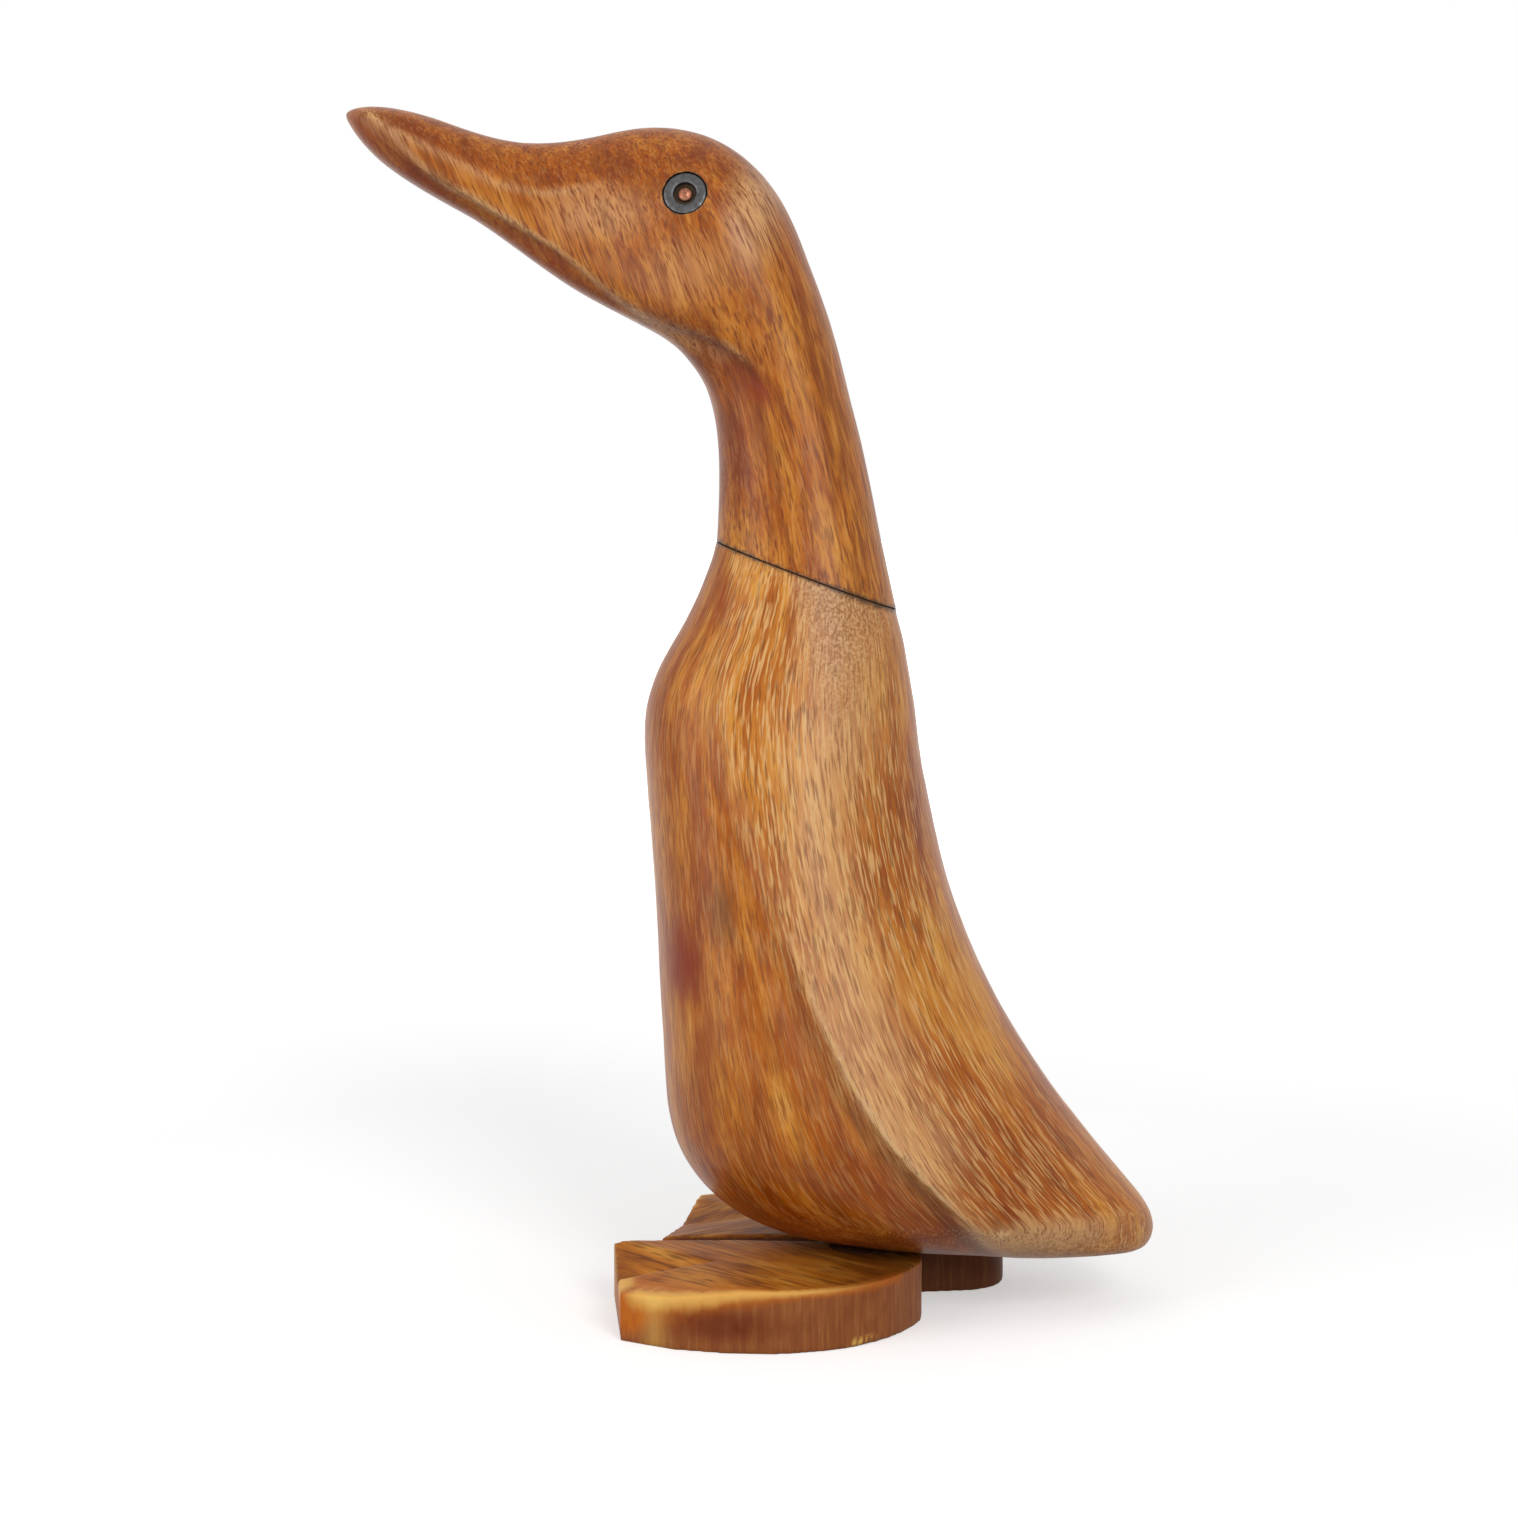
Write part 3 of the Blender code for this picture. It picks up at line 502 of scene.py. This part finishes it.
def head_carving(duck, wood):
    piece = sawn_off("head_carving", duck, True)
    grain, tone, finish, moved = [], [], [], []
    for corner, curve in zip(piece.data.vertices, hollowness(piece)):
        place, normal = corner.co.copy(), corner.normal.copy()
        z = place.z / MM
        side = place.y - MIDDLE_Y
        near = smoothstep(-4 * MM, 4 * MM, -side)
        rise = place.z - NECK_GRAIN_START
        grain.append((place.x + NECK_GRAIN_LEAN * rise + NECK_GRAIN_CURVE * rise ** 2, side, place.z))

        flank = smoothstep(0.15, 0.6, abs(normal.y))
        mouth, mouth_along = from_line(place, MOUTH)
        jaw, jaw_along = from_line(place, JAW)
        from_joint = abs(above_joint(place))
        below = 1 - smoothstep(-1.5, 0.3, mouth)
        bill = smoothstep(232, 240, z)
        up = smoothstep(0.10, 0.50, normal.z) * bill
        neck = smoothstep(186, 200, z) * (1 - smoothstep(226, 234, z))
        throat = from_line(place, THROAT_HIGHLIGHT)[0]
        ridge, ridge_along = from_line(place, BILL_RIDGE)
        ridge_ends = flank * smoothstep(0.0, 0.1, ridge_along) * (1 - smoothstep(0.75, 1.0, ridge_along))
        ends = smoothstep(0.0, 0.04, mouth_along) * (1 - smoothstep(0.92, 1.0, mouth_along))
        fold = hump(jaw, -0.8, 3.6) * (1 - smoothstep(0.7, 1.0, jaw_along))

        # Tone: red below the mouth and by the jaw, partly standing in for shade; pale on worn edges, with
        # painted highlights down the throat, under the bill's ridge and by the eye; and painted shade in the
        # creases and the eye recesses, besides the joint's filler
        # Below the mouth the red also stands in for the shade under the upper bill
        red = 0.55 * below * bill * (1 - smoothstep(3, 10, abs(mouth))) + near * spots(place, JAW_RED)
        # Painted shade: red-brown down the jaw's fold
        red += 0.3 * near * flank * hump(jaw, -2, 2.5) * smoothstep(0.1, 0.4, jaw_along)
        pale = 0.35 * flank * ends * hump(mouth, 0.7, 0.7) + 0.4 * smoothstep(0.015 * MM, 0.05 * MM, -curve)
        # Painted highlights: the gleam down the throat and under the bill's ridge, and the sheen spots by the
        # eye
        pale += 0.4 * hump(throat, 0, 1.8) + 0.35 * ridge_ends * hump(ridge, -0.8, 1.0)
        pale += near * spots(place, HEAD_SHEEN)
        # Painted shade in the cove under the mouth's edge and in the jaw's fold; then the joint's filler and
        # the painted shade in the eye recesses
        dark = 0.30 * flank * ends * hump(mouth, -1.2, 1.4) + 0.22 * flank * fold
        dark += 0.85 * joint_smear(place, 0.6, 0.3) + recess_shade(place)
        tone.append(clamped(red, pale, dark, 0.15))

        # Finish: darker on the crown, above the bill's ridge, in the jaw's fold and down the throat, all
        # painted shade, on top of the oil's own depth and smears
        oil = 0.48 + 0.18 * up + 0.15 * ridge_ends * hump(ridge, 2.0, 2.0) + 0.3 * flank * fold
        # Painted shade down the front of the neck, where it faces forward
        oil += neck * (0.35 * smoothstep(0.2, 0.8, -normal.x) + 0.1 * near)
        oil += near * (spots(place, NECK_OILED) - 0.1 * (1 - smoothstep(186, 196, z)))
        finish.append(clamped(oil, 0.0, 0.0, 0.85))

        # Carving: the cut of the mouth and the ridge of the bill
        depth = 0.28 * flank * ends * hump(mouth, -0.6, 0.8) - 0.7 * hand_waves(place)
        depth += ridge_ends * (0.22 * hump(ridge, 2.0, 1.8) - 0.15 * hump(ridge, -0.5, 1.0))
        moved.append(place - normal * depth * MM * smoothstep(0.3, 1.5, from_joint) * eye_clear(place))
    finish_carving(piece, moved, grain, tone, finish, wood, "head_neck")


def outer_rim(piece, low, high, outward, hollow):
    """Finds how far a place is from the upper edge of a foot's outer half, which is rubbed."""
    rim = [corner.co for corner, curve in zip(piece.data.vertices, hollow)
           if curve < -0.03 * MM and high.z - corner.co.z < 3 * MM and corner.normal.y * outward > 0.1
           and (corner.co.y - (low.y + high.y) / 2) * outward > 0.1 * (high.y - low.y)]
    finder = KDTree(len(rim))
    for index, place in enumerate(rim):
        finder.insert(place, index)
    finder.balance()
    return finder


def foot_board(side, wood, turn, wear, shade):
    """A foot sawn from a board, with its grain turned from straight across, in degrees, and its outer edge
    rubbed pale. The wear widens the rubbed edge, and the shade darkens the sawn sides as painted shade."""
    name = side + "_foot"
    piece = fine_copy(name + "_board", name, BOARD_EDGE)
    even_faces(piece, FOOT_FACE)
    low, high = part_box(name)
    hollow = hollowness(piece)
    grain, tone, finish = [], [], []
    turned = Matrix.Rotation(-math.radians(turn), 3, "Z")
    outward = -1 if side == "left" else 1
    rim = outer_rim(piece, low, high, outward, hollow)
    for corner, curve in zip(piece.data.vertices, hollow):
        place, normal = corner.co, corner.normal
        along = turned @ place
        grain.append((along.x, along.z, along.y))
        by_toe = place - Vector((low.x, 0.0, 0.0))
        from_toe = by_toe.x / (high.x - low.x)
        sawn_ragged = noise.noise(Vector((place.x, place.y, place.z / 5)) / MM)
        ragged = noise.noise(place / (4 * MM)) + 0.8 * sawn_ragged
        from_rim = rim.find(place)[2] / MM
        outer = smoothstep(-0.2, 0.5, normal.y * outward)
        upright = 1 - smoothstep(0.35, 0.8, abs(normal.z))
        rubbed = wear * (0.8 + 3.6 * (1 - smoothstep(0.0, 0.7, from_toe))) * (1 + 0.35 * ragged)

        # Tone: red by the middle, pale on the rubbed edge and the chips, and painted shade in the groove, on
        # the heel's top under the body and on the sawn sides
        red = upright * (spots(by_toe, FOOT_RED) + 0.2 * smoothstep(0, 0.5, ragged))
        pale = (0.85 - 0.35 * from_toe) * (1 - smoothstep(0.65, 0.9, from_toe))
        pale *= 1 - smoothstep(0.1 * rubbed, 1.2 * rubbed, from_rim)
        if side == "left":
            corners_rubbed = hump(by_toe.x / MM, 1, 1.5) + 0.6 * hump(by_toe.x / MM, 14, 2.5)
            pale += 0.6 * upright * outer * corners_rubbed
            pale += upright * spots(by_toe, FOOT_CHIPS) * smoothstep(-0.1, 0.2, ragged)
        # Painted shade in the hollows and on the sawn sides, then on the heel's top under the body
        dark = smoothstep(0.02 * MM, 0.09 * MM, curve) + shade * upright
        dark += 0.6 * (1 - upright) * smoothstep(0.5, 0.95, from_toe)
        tone.append(clamped(red, pale, dark, 0.0))

        # Finish: the sawn sides, and the warm wood below the rubbed edge and at the toe
        warm = upright * outer * spots(by_toe, FOOT_WARM)
        warm += 0.7 * (1 - smoothstep(0.6 * rubbed, 2.6 * rubbed, from_rim))
        finish.append(clamped(0.0, upright, warm, 0.0))
    write_attributes(piece, grain, tone, finish)
    fasten(piece, wood, "foot_wood", name)


# Fillers

def joint_filler(filler):
    """The dark filler of the neck joint, pressed in the saw cut to just short of the surface."""
    piece = joint_plug("joint_filler", -SAW_CUT / 2, SAW_CUT / 2, 0.10 * MM)
    fasten(piece, filler, "bamboo_root")


def foot_glue_and_shadow(side, filler, place, reach):
    """The low mound of dark glue between a foot and the body, which also serves as painted shadow in the gap
    under the body: its middle (x, y) and its reach (x, y, z) from there, in millimetres."""
    deselect_all()
    bpy.ops.mesh.primitive_uv_sphere_add(segments=48, ring_count=24, radius=1.0, location=(0.0, 0.0, 0.0))
    piece = bpy.context.object
    piece.name = side + "_foot_glue_and_shadow"
    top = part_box(side + "_foot")[1].z
    for corner in piece.data.vertices:
        x, y, z = corner.co
        ragged = 1 + 0.12 * noise.noise(Vector((x * 1.7, y * 1.7, 0.3)))
        corner.co = Vector((place[0] + x * reach[0] * ragged,
                            place[1] + y * reach[1] * ragged,
                            z * reach[2])) * MM
        corner.co.z += top
    shade_smooth(piece)
    fasten(piece, filler, "bamboo_root")


# Eyes

def eye(side, steel, copper):
    for name, node, finish, slot in (("eye_washer", "eye_ring", steel, "blued_steel"),
                                     ("eye_nail_head", "eye_nail", copper, "copper")):
        piece = fine_copy(side + "_" + name, side + "_" + node, METAL_EDGE)
        fasten(piece, finish, slot, side + "_" + node)


# Materials

def linear(colour):
    """A hex sRGB colour as linear values."""
    parts = [int(colour[index:index + 2], 16) / 255 for index in (1, 3, 5)]
    straight = [part / 12.92 if part <= 0.04045 else ((part + 0.055) / 1.055) ** 2.4 for part in parts]
    return (*straight, 1.0)


def add_node(tree, kind, inputs=None, steps=(), **settings):
    """Adds a node. An input is a value, a hex colour, or a node or output to link, and steps are the places
    and colours of a colour ramp."""
    node = tree.nodes.new("ShaderNode" + kind)
    for name, value in settings.items():
        setattr(node, name, value)
    for key, value in (inputs or {}).items():
        socket = node.inputs[key] if isinstance(key, int) else next(
            one for one in node.inputs if one.enabled and one.name == key)
        if isinstance(value, bpy.types.Node):
            value = next(one for one in value.outputs if one.enabled)
        if isinstance(value, bpy.types.NodeSocket):
            tree.links.new(value, socket)
        else:
            socket.default_value = linear(value) if isinstance(value, str) else value
    for index, (place, colour) in enumerate(steps):
        marks = node.color_ramp.elements
        mark = marks[index] if index < len(marks) else marks.new(place)
        mark.position = place
        mark.color = linear(colour)
    return node


def start_material(name, **shader_values):
    """A new material with its shader's even values."""
    made = bpy.data.materials.new(name)
    made.use_nodes = True
    shader = made.node_tree.nodes["Principled BSDF"]
    for socket, value in shader_values.items():
        shader.inputs[socket.replace("_", " ")].default_value = value
    return made, made.node_tree, shader


def along_grain(tree, grain, width, stretch, shift=0.0, detail=2.0, roughness=0.55):
    """Streaks along the grain: their width in millimetres, and how many times longer they are."""
    drawn = add_node(tree, "Mapping", {
        "Vector": grain, "Location": (shift, shift, shift), "Scale": (1.0, 1.0, 1.0 / stretch)})
    return add_node(tree, "TexNoise", {
        "Vector": drawn, "Scale": 1 / (width * MM), "Detail": detail, "Roughness": roughness})


def bamboo_root():
    """Bamboo root: dense brown tissue with pale fibre bundles. Carved through, the bundles show as short pale
    dashes with dark pores between them. It is sanded, stained with tea-brown oil and brushed with satin
    varnish, so it looks honey to orange-brown and its sheen is broken by the fibres."""
    made, tree, shader = start_material(
        "varnished_bamboo_root", Roughness=0.36, IOR=1.5, Specular_IOR_Level=0.24)
    grain = add_node(tree, "Attribute", attribute_name="grain").outputs["Vector"]
    tone = add_node(tree, "Attribute", attribute_name="tone")
    stains = add_node(tree, "SeparateColor", {0: tone.outputs["Color"]}).outputs
    finish = add_node(tree, "Attribute", attribute_name="finish")
    marks = add_node(tree, "SeparateColor", {0: finish.outputs["Color"]}).outputs

    # The finish's oil, which also holds the painted shade, soaks in unevenly, in patches of 26 mm and in
    # streaks of 4 mm and less
    patches = add_node(tree, "MapRange", {
        "Value": along_grain(tree, grain, 26, 2.0), "From Min": 0.3, "From Max": 0.7,
        "To Min": -0.18, "To Max": 0.18})
    streaks = add_node(tree, "MapRange", {
        "Value": along_grain(tree, grain, 4, 7.0, 0.3, 4.0, 0.65), "From Min": 0.3, "From Max": 0.7,
        "To Min": -0.36, "To Max": 0.36})
    soaked_and_shaded = add_node(tree, "Math", {0: marks["Red"], 1: patches}, operation="ADD")
    soaked_and_shaded = add_node(tree, "Math", {0: soaked_and_shaded, 1: streaks}, operation="ADD")
    ground = add_node(tree, "ValToRGB", {"Fac": soaked_and_shaded}, steps=(
        (0.0, "#DE9C3E"), (0.35, "#C87C28"), (0.65, "#AC5A0E"), (1.0, "#863800")))

    # Where it is rubbed the wood under the bundles and pores is paler, and painted sheen and highlights
    # lighten it where it would gleam
    wood = add_node(tree, "Mix", {"Factor": stains["Green"], "A": ground, "B": "#E4B684"}, data_type="RGBA")

    # Fibre bundles up to 0.6 mm wide and 8 mm long, with narrower pores between them. Where the body widens
    # towards the tail the pattern is drawn closer, so that they keep their width
    closer = add_node(tree, "Mapping", {"Vector": grain, "Scale": (1.9, 1.0, 1.0)})
    bundles = add_node(tree, "Mix", {
        "Factor": marks["Blue"], "A": along_grain(tree, grain, 0.62, 13, 0.7, 1.5),
        "B": along_grain(tree, closer, 0.62, 13, 0.7, 1.5)})
    pores = add_node(tree, "Mix", {
        "Factor": marks["Blue"], "A": along_grain(tree, grain, 0.5, 13, 1.9, 1.5),
        "B": along_grain(tree, closer, 0.5, 13, 1.9, 1.5)})
    pale = add_node(tree, "MapRange", {"Value": bundles, "From Min": 0.50, "From Max": 0.60})
    pale = add_node(tree, "Math", {0: pale, 1: tone.outputs["Alpha"]}, operation="MULTIPLY")
    wood = add_node(tree, "Mix", {"Factor": pale, "A": wood, "B": "#E2B070"}, data_type="RGBA")
    dark = add_node(tree, "MapRange", {"Value": pores, "From Min": 0.52, "From Max": 0.64, "To Max": 0.6})
    wood = add_node(tree, "Mix", {"Factor": dark, "A": wood, "B": "#763C0E"}, data_type="RGBA")

    # Behind the joint and under the tail the tools have cut the bundles across, so they show as grains
    cut_ends = add_node(tree, "TexNoise", {"Vector": grain, "Scale": 1 / (0.8 * MM), "Detail": 2.0})
    cut_ends = add_node(tree, "MapRange", {"Value": cut_ends, "From Min": 0.42, "From Max": 0.6})
    grains = add_node(tree, "Mix", {"Factor": cut_ends, "A": "#9A6030", "B": "#CFA070"}, data_type="RGBA")
    amount = add_node(tree, "Math", {0: marks["Green"], 1: 0.8}, operation="MULTIPLY")
    wood = add_node(tree, "Mix", {"Factor": amount, "A": wood, "B": grains}, data_type="RGBA")

    # Dark bands and short dark dashes on the head and the belly
    for streak, start, end, most, colour in (
            (along_grain(tree, grain, 3, 7, 5.0, 3.0, 0.6), 0.5, 0.66, 0.7, "#7C3C10"),
            (along_grain(tree, grain, 0.8, 13, 3.1), 0.56, 0.68, 1.0, "#783410")):
        amount = add_node(tree, "MapRange", {
            "Value": streak, "From Min": start, "From Max": end, "To Max": most})
        amount = add_node(tree, "Math", {0: amount, 1: finish.outputs["Alpha"]}, operation="MULTIPLY")
        wood = add_node(tree, "Mix", {"Factor": amount, "A": wood, "B": colour}, data_type="RGBA")

    # Red stains, and dirt, filler and painted shade
    for amount, colour in ((stains["Red"], "#862A00"), (stains["Blue"], "#30200E")):
        wood = add_node(tree, "Mix", {"Factor": amount, "A": wood, "B": colour}, data_type="RGBA")
    tree.links.new(wood.outputs[2], shader.inputs["Base Color"])

    relief = add_node(tree, "Math", {0: bundles, 1: pores}, operation="SUBTRACT")
    bump = add_node(tree, "Bump", {"Height": relief, "Strength": 0.5, "Distance": 0.12 * MM})
    tree.links.new(bump.outputs[0], shader.inputs["Normal"])
    return made


def sawn_root():
    """The same root sawn to boards and brushed with the varnish that was left: duller than the body, with the
    saw's fine upright marks on the sides, and rubbed pale along the upper edge."""
    made, tree, shader = start_material(
        "varnished_sawn_root", Roughness=0.5, IOR=1.5, Specular_IOR_Level=0.14)
    grain = add_node(tree, "Attribute", attribute_name="grain").outputs["Vector"]
    tone = add_node(tree, "Attribute", attribute_name="tone")
    stains = add_node(tree, "SeparateColor", {0: tone.outputs["Color"]}).outputs
    finish = add_node(tree, "Attribute", attribute_name="finish")
    marks = add_node(tree, "SeparateColor", {0: finish.outputs["Color"]}).outputs

    # Board faces: broad bands of the grain with fine dark lines
    broad = along_grain(tree, grain, 6, 4, 0.0, 3.0)
    ground = add_node(tree, "ValToRGB", {"Fac": broad}, steps=(
        (0.3, "#8A4808"), (0.5, "#B46A18"), (0.7, "#D09038")))
    lines = along_grain(tree, grain, 0.9, 12, 0.4)
    dark = add_node(tree, "MapRange", {"Value": lines, "From Min": 0.5, "From Max": 0.64, "To Max": 0.65})
    wood = add_node(tree, "Mix", {"Factor": dark, "A": ground, "B": "#54280A"}, data_type="RGBA")

    # Sawn sides: upright marks 0.9 mm wide
    place = add_node(tree, "TexCoord").outputs["Object"]
    upright = along_grain(tree, place, 0.9, 16, 0.0, 3.0)
    edges = add_node(tree, "ValToRGB", {"Fac": upright}, steps=(
        (0.3, "#8A4C2A"), (0.55, "#98592F"), (0.75, "#A86E3C")))
    wood = add_node(tree, "Mix", {"Factor": marks["Green"], "A": wood, "B": edges}, data_type="RGBA")

    # Warm wood, red stains, rubbed places, and painted shade in the groove, at the heel and on the shaded
    # sawn sides
    for amount, colour in ((marks["Blue"], "#C4691E"), (stains["Red"], "#6A2810"),
                           (stains["Green"], "#F2BE62"), (stains["Blue"], "#2E140A")):
        wood = add_node(tree, "Mix", {"Factor": amount, "A": wood, "B": colour}, data_type="RGBA")
    tree.links.new(wood.outputs[2], shader.inputs["Base Color"])

    bump = add_node(tree, "Bump", {"Height": lines, "Strength": 0.4, "Distance": 0.2 * MM})
    tree.links.new(bump.outputs[0], shader.inputs["Normal"])
    return made


def wood_filler():
    """Dark wood filler: sawdust and glue pressed in the joint, matt and nearly black-brown."""
    made, tree, shader = start_material("dark_wood_filler", Roughness=0.8, IOR=1.5, Specular_IOR_Level=0.05)
    place = add_node(tree, "TexCoord").outputs["Object"]
    crumbs = add_node(tree, "TexNoise", {"Vector": place, "Scale": 1 / (1.2 * MM), "Detail": 3.0})
    colour = add_node(tree, "ValToRGB", {"Fac": crumbs}, steps=((0.35, "#28120A"), (0.7, "#46281A")))
    tree.links.new(colour.outputs[0], shader.inputs["Base Color"])
    return made


def metal(name, dull, bright, roughness, cloud_size):
    """A blued, plated or bare metal with soft clouds of tarnish, their size in millimetres: the ring is blued
    steel worn grey, the nail is copper gone brown, and the screws are plated with zinc."""
    made, tree, shader = start_material(name, Metallic=1.0)
    place = add_node(tree, "TexCoord").outputs["Object"]
    cloud = add_node(tree, "TexNoise", {"Vector": place, "Scale": 1 / (cloud_size * MM), "Detail": 3.0})
    colour = add_node(tree, "ValToRGB", {"Fac": cloud}, steps=((0.35, dull), (0.65, bright)))
    tree.links.new(colour.outputs[0], shader.inputs["Base Color"])
    rough = add_node(tree, "MapRange", {
        "Value": cloud, "From Min": 0.3, "From Max": 0.7,
        "To Min": roughness + 0.08, "To Max": roughness - 0.06})
    tree.links.new(rough.outputs[0], shader.inputs["Roughness"])
    return made


def beech():
    """Turned beech dowel: plain pale wood with short darker flecks along it."""
    made, tree, shader = start_material("turned_beech", Roughness=0.6, IOR=1.5)
    place = add_node(tree, "TexCoord").outputs["Object"]
    flecks = along_grain(tree, place, 0.6, 8)
    colour = add_node(tree, "ValToRGB", {"Fac": flecks}, steps=((0.4, "#D6B487"), (0.7, "#A87C50")))
    tree.links.new(colour.outputs[0], shader.inputs["Base Color"])
    return made


def dress_hidden_hardware():
    zinc = metal("zinc_plated_steel", "#9A9A92", "#C4C4BC", roughness=0.35, cloud_size=2.0)
    wood = beech()
    for name, finish in (("left_foot_screw", zinc), ("right_foot_screw", zinc), ("neck_dowel", wood)):
        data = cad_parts[name].data
        data.materials.clear()
        data.materials.append(finish)


# Studio

def add_rays_that_see_white(tree):
    """1 for the rays that see the white background: the camera's, and those off gloss and through glass."""
    rays = add_node(tree, "LightPath").outputs
    seen = add_node(tree, "Math", {0: rays["Is Camera Ray"], 1: rays["Is Glossy Ray"]}, operation="MAXIMUM")
    return add_node(tree, "Math", {0: seen, 1: rays["Is Transmission Ray"]}, operation="MAXIMUM")


def studio_floor():
    """White paper. It glows a little for the camera, so that it shows white and keeps the duck's soft shadow,
    and wholly farther away, where the lamps don't reach."""
    deselect_all()
    bpy.ops.mesh.primitive_plane_add(size=40.0, location=(0.0, 0.0, 0.0))
    floor = bpy.context.object
    floor.name = "studio_floor"
    made = bpy.data.materials.new("white_paper")
    made.use_nodes = True
    tree = made.node_tree
    tree.nodes.clear()
    place = add_node(tree, "TexCoord").outputs["Object"]
    away = add_node(tree, "VectorMath", {0: place}, operation="LENGTH").outputs["Value"]
    glow = add_node(tree, "MapRange", {
        "Value": away, "From Min": GLOW_FROM, "From Max": GLOW_WHOLLY_FROM,
        "To Min": PAPER_GLOW, "To Max": 1.0})
    light = add_node(tree, "Emission", {"Strength": glow})
    shown = add_node(tree, "BsdfDiffuse", {"Color": "#E7E7E7"})
    both = add_node(tree, "AddShader", {0: shown, 1: light})
    bounced = add_node(tree, "BsdfDiffuse", {"Color": "#9A9A9A"})
    white = add_node(tree, "MixShader", {0: add_rays_that_see_white(tree), 1: bounced, 2: both})
    add_node(tree, "OutputMaterial", {0: white})
    floor.data.materials.append(made)


def white_room():
    world = bpy.data.worlds.new("white_room")
    bpy.context.scene.world = world
    world.use_nodes = True
    tree = world.node_tree
    tree.nodes.clear()
    strength = add_node(tree, "MapRange", {
        "Value": add_rays_that_see_white(tree), "To Min": ROOM_LIGHT, "To Max": 1.0})
    light = add_node(tree, "Background", {"Color": "#FFFFFF", "Strength": strength})
    add_node(tree, "OutputWorld", {0: light})


def softbox(name, place, width, height, power):
    lamp = bpy.data.lights.new(name, "AREA")
    lamp.shape = "RECTANGLE"
    lamp.size = width
    lamp.size_y = height
    lamp.energy = power
    obj = bpy.data.objects.new(name, lamp)
    bpy.context.scene.collection.objects.link(obj)
    obj.location = place
    obj.rotation_euler = (LAMPS_AIM - Vector(place)).to_track_quat("-Z", "Y").to_euler()


def camera():
    data = bpy.data.cameras.new("camera")
    data.lens = CAMERA_LENS
    data.sensor_width = CAMERA_SENSOR
    obj = bpy.data.objects.new("camera", data)
    bpy.context.scene.collection.objects.link(obj)
    obj.location = CAMERA_PLACE
    obj.rotation_euler = (CAMERA_TARGET - CAMERA_PLACE).to_track_quat("-Z", "Y").to_euler()
    bpy.context.scene.camera = obj


root_wood = bamboo_root()
board_wood = sawn_root()
dark_filler = wood_filler()
duck = whole_duck()
body_carving(duck, root_wood)
head_carving(duck, root_wood)
bpy.data.objects.remove(duck)
foot_board("left", board_wood, turn=50.0, wear=1.0, shade=0.0)
foot_board("right", board_wood, turn=125.0, wear=0.35, shade=0.5)
joint_filler(dark_filler)
# The dark glue mounds also stand as painted shadow where the body meets the feet
foot_glue_and_shadow("left", dark_filler, place=(30.0, -8.5), reach=(11.0, 6.0, 1.4))
foot_glue_and_shadow("right", dark_filler, place=(40.0, 12.0), reach=(15.0, 7.0, 1.1))
blued_steel = metal("blued_steel", "#484848", "#5E5E60", roughness=0.42, cloud_size=1.2)
aged_copper = metal("tarnished_copper", "#7A4A38", "#A8745C", roughness=0.36, cloud_size=0.8)
eye("left", blued_steel, aged_copper)
eye("right", blued_steel, aged_copper)
dress_hidden_hardware()

studio_floor()
white_room()
softbox("right_softbox", (0.52, -1.02, 0.66), width=0.45, height=0.6, power=6.5)
softbox("left_softbox", (-0.9, -0.7, 0.45), width=0.7, height=0.9, power=5.0)
camera()

bpy.context.scene.view_settings.view_transform = "Standard"
bpy.context.view_layer.update()
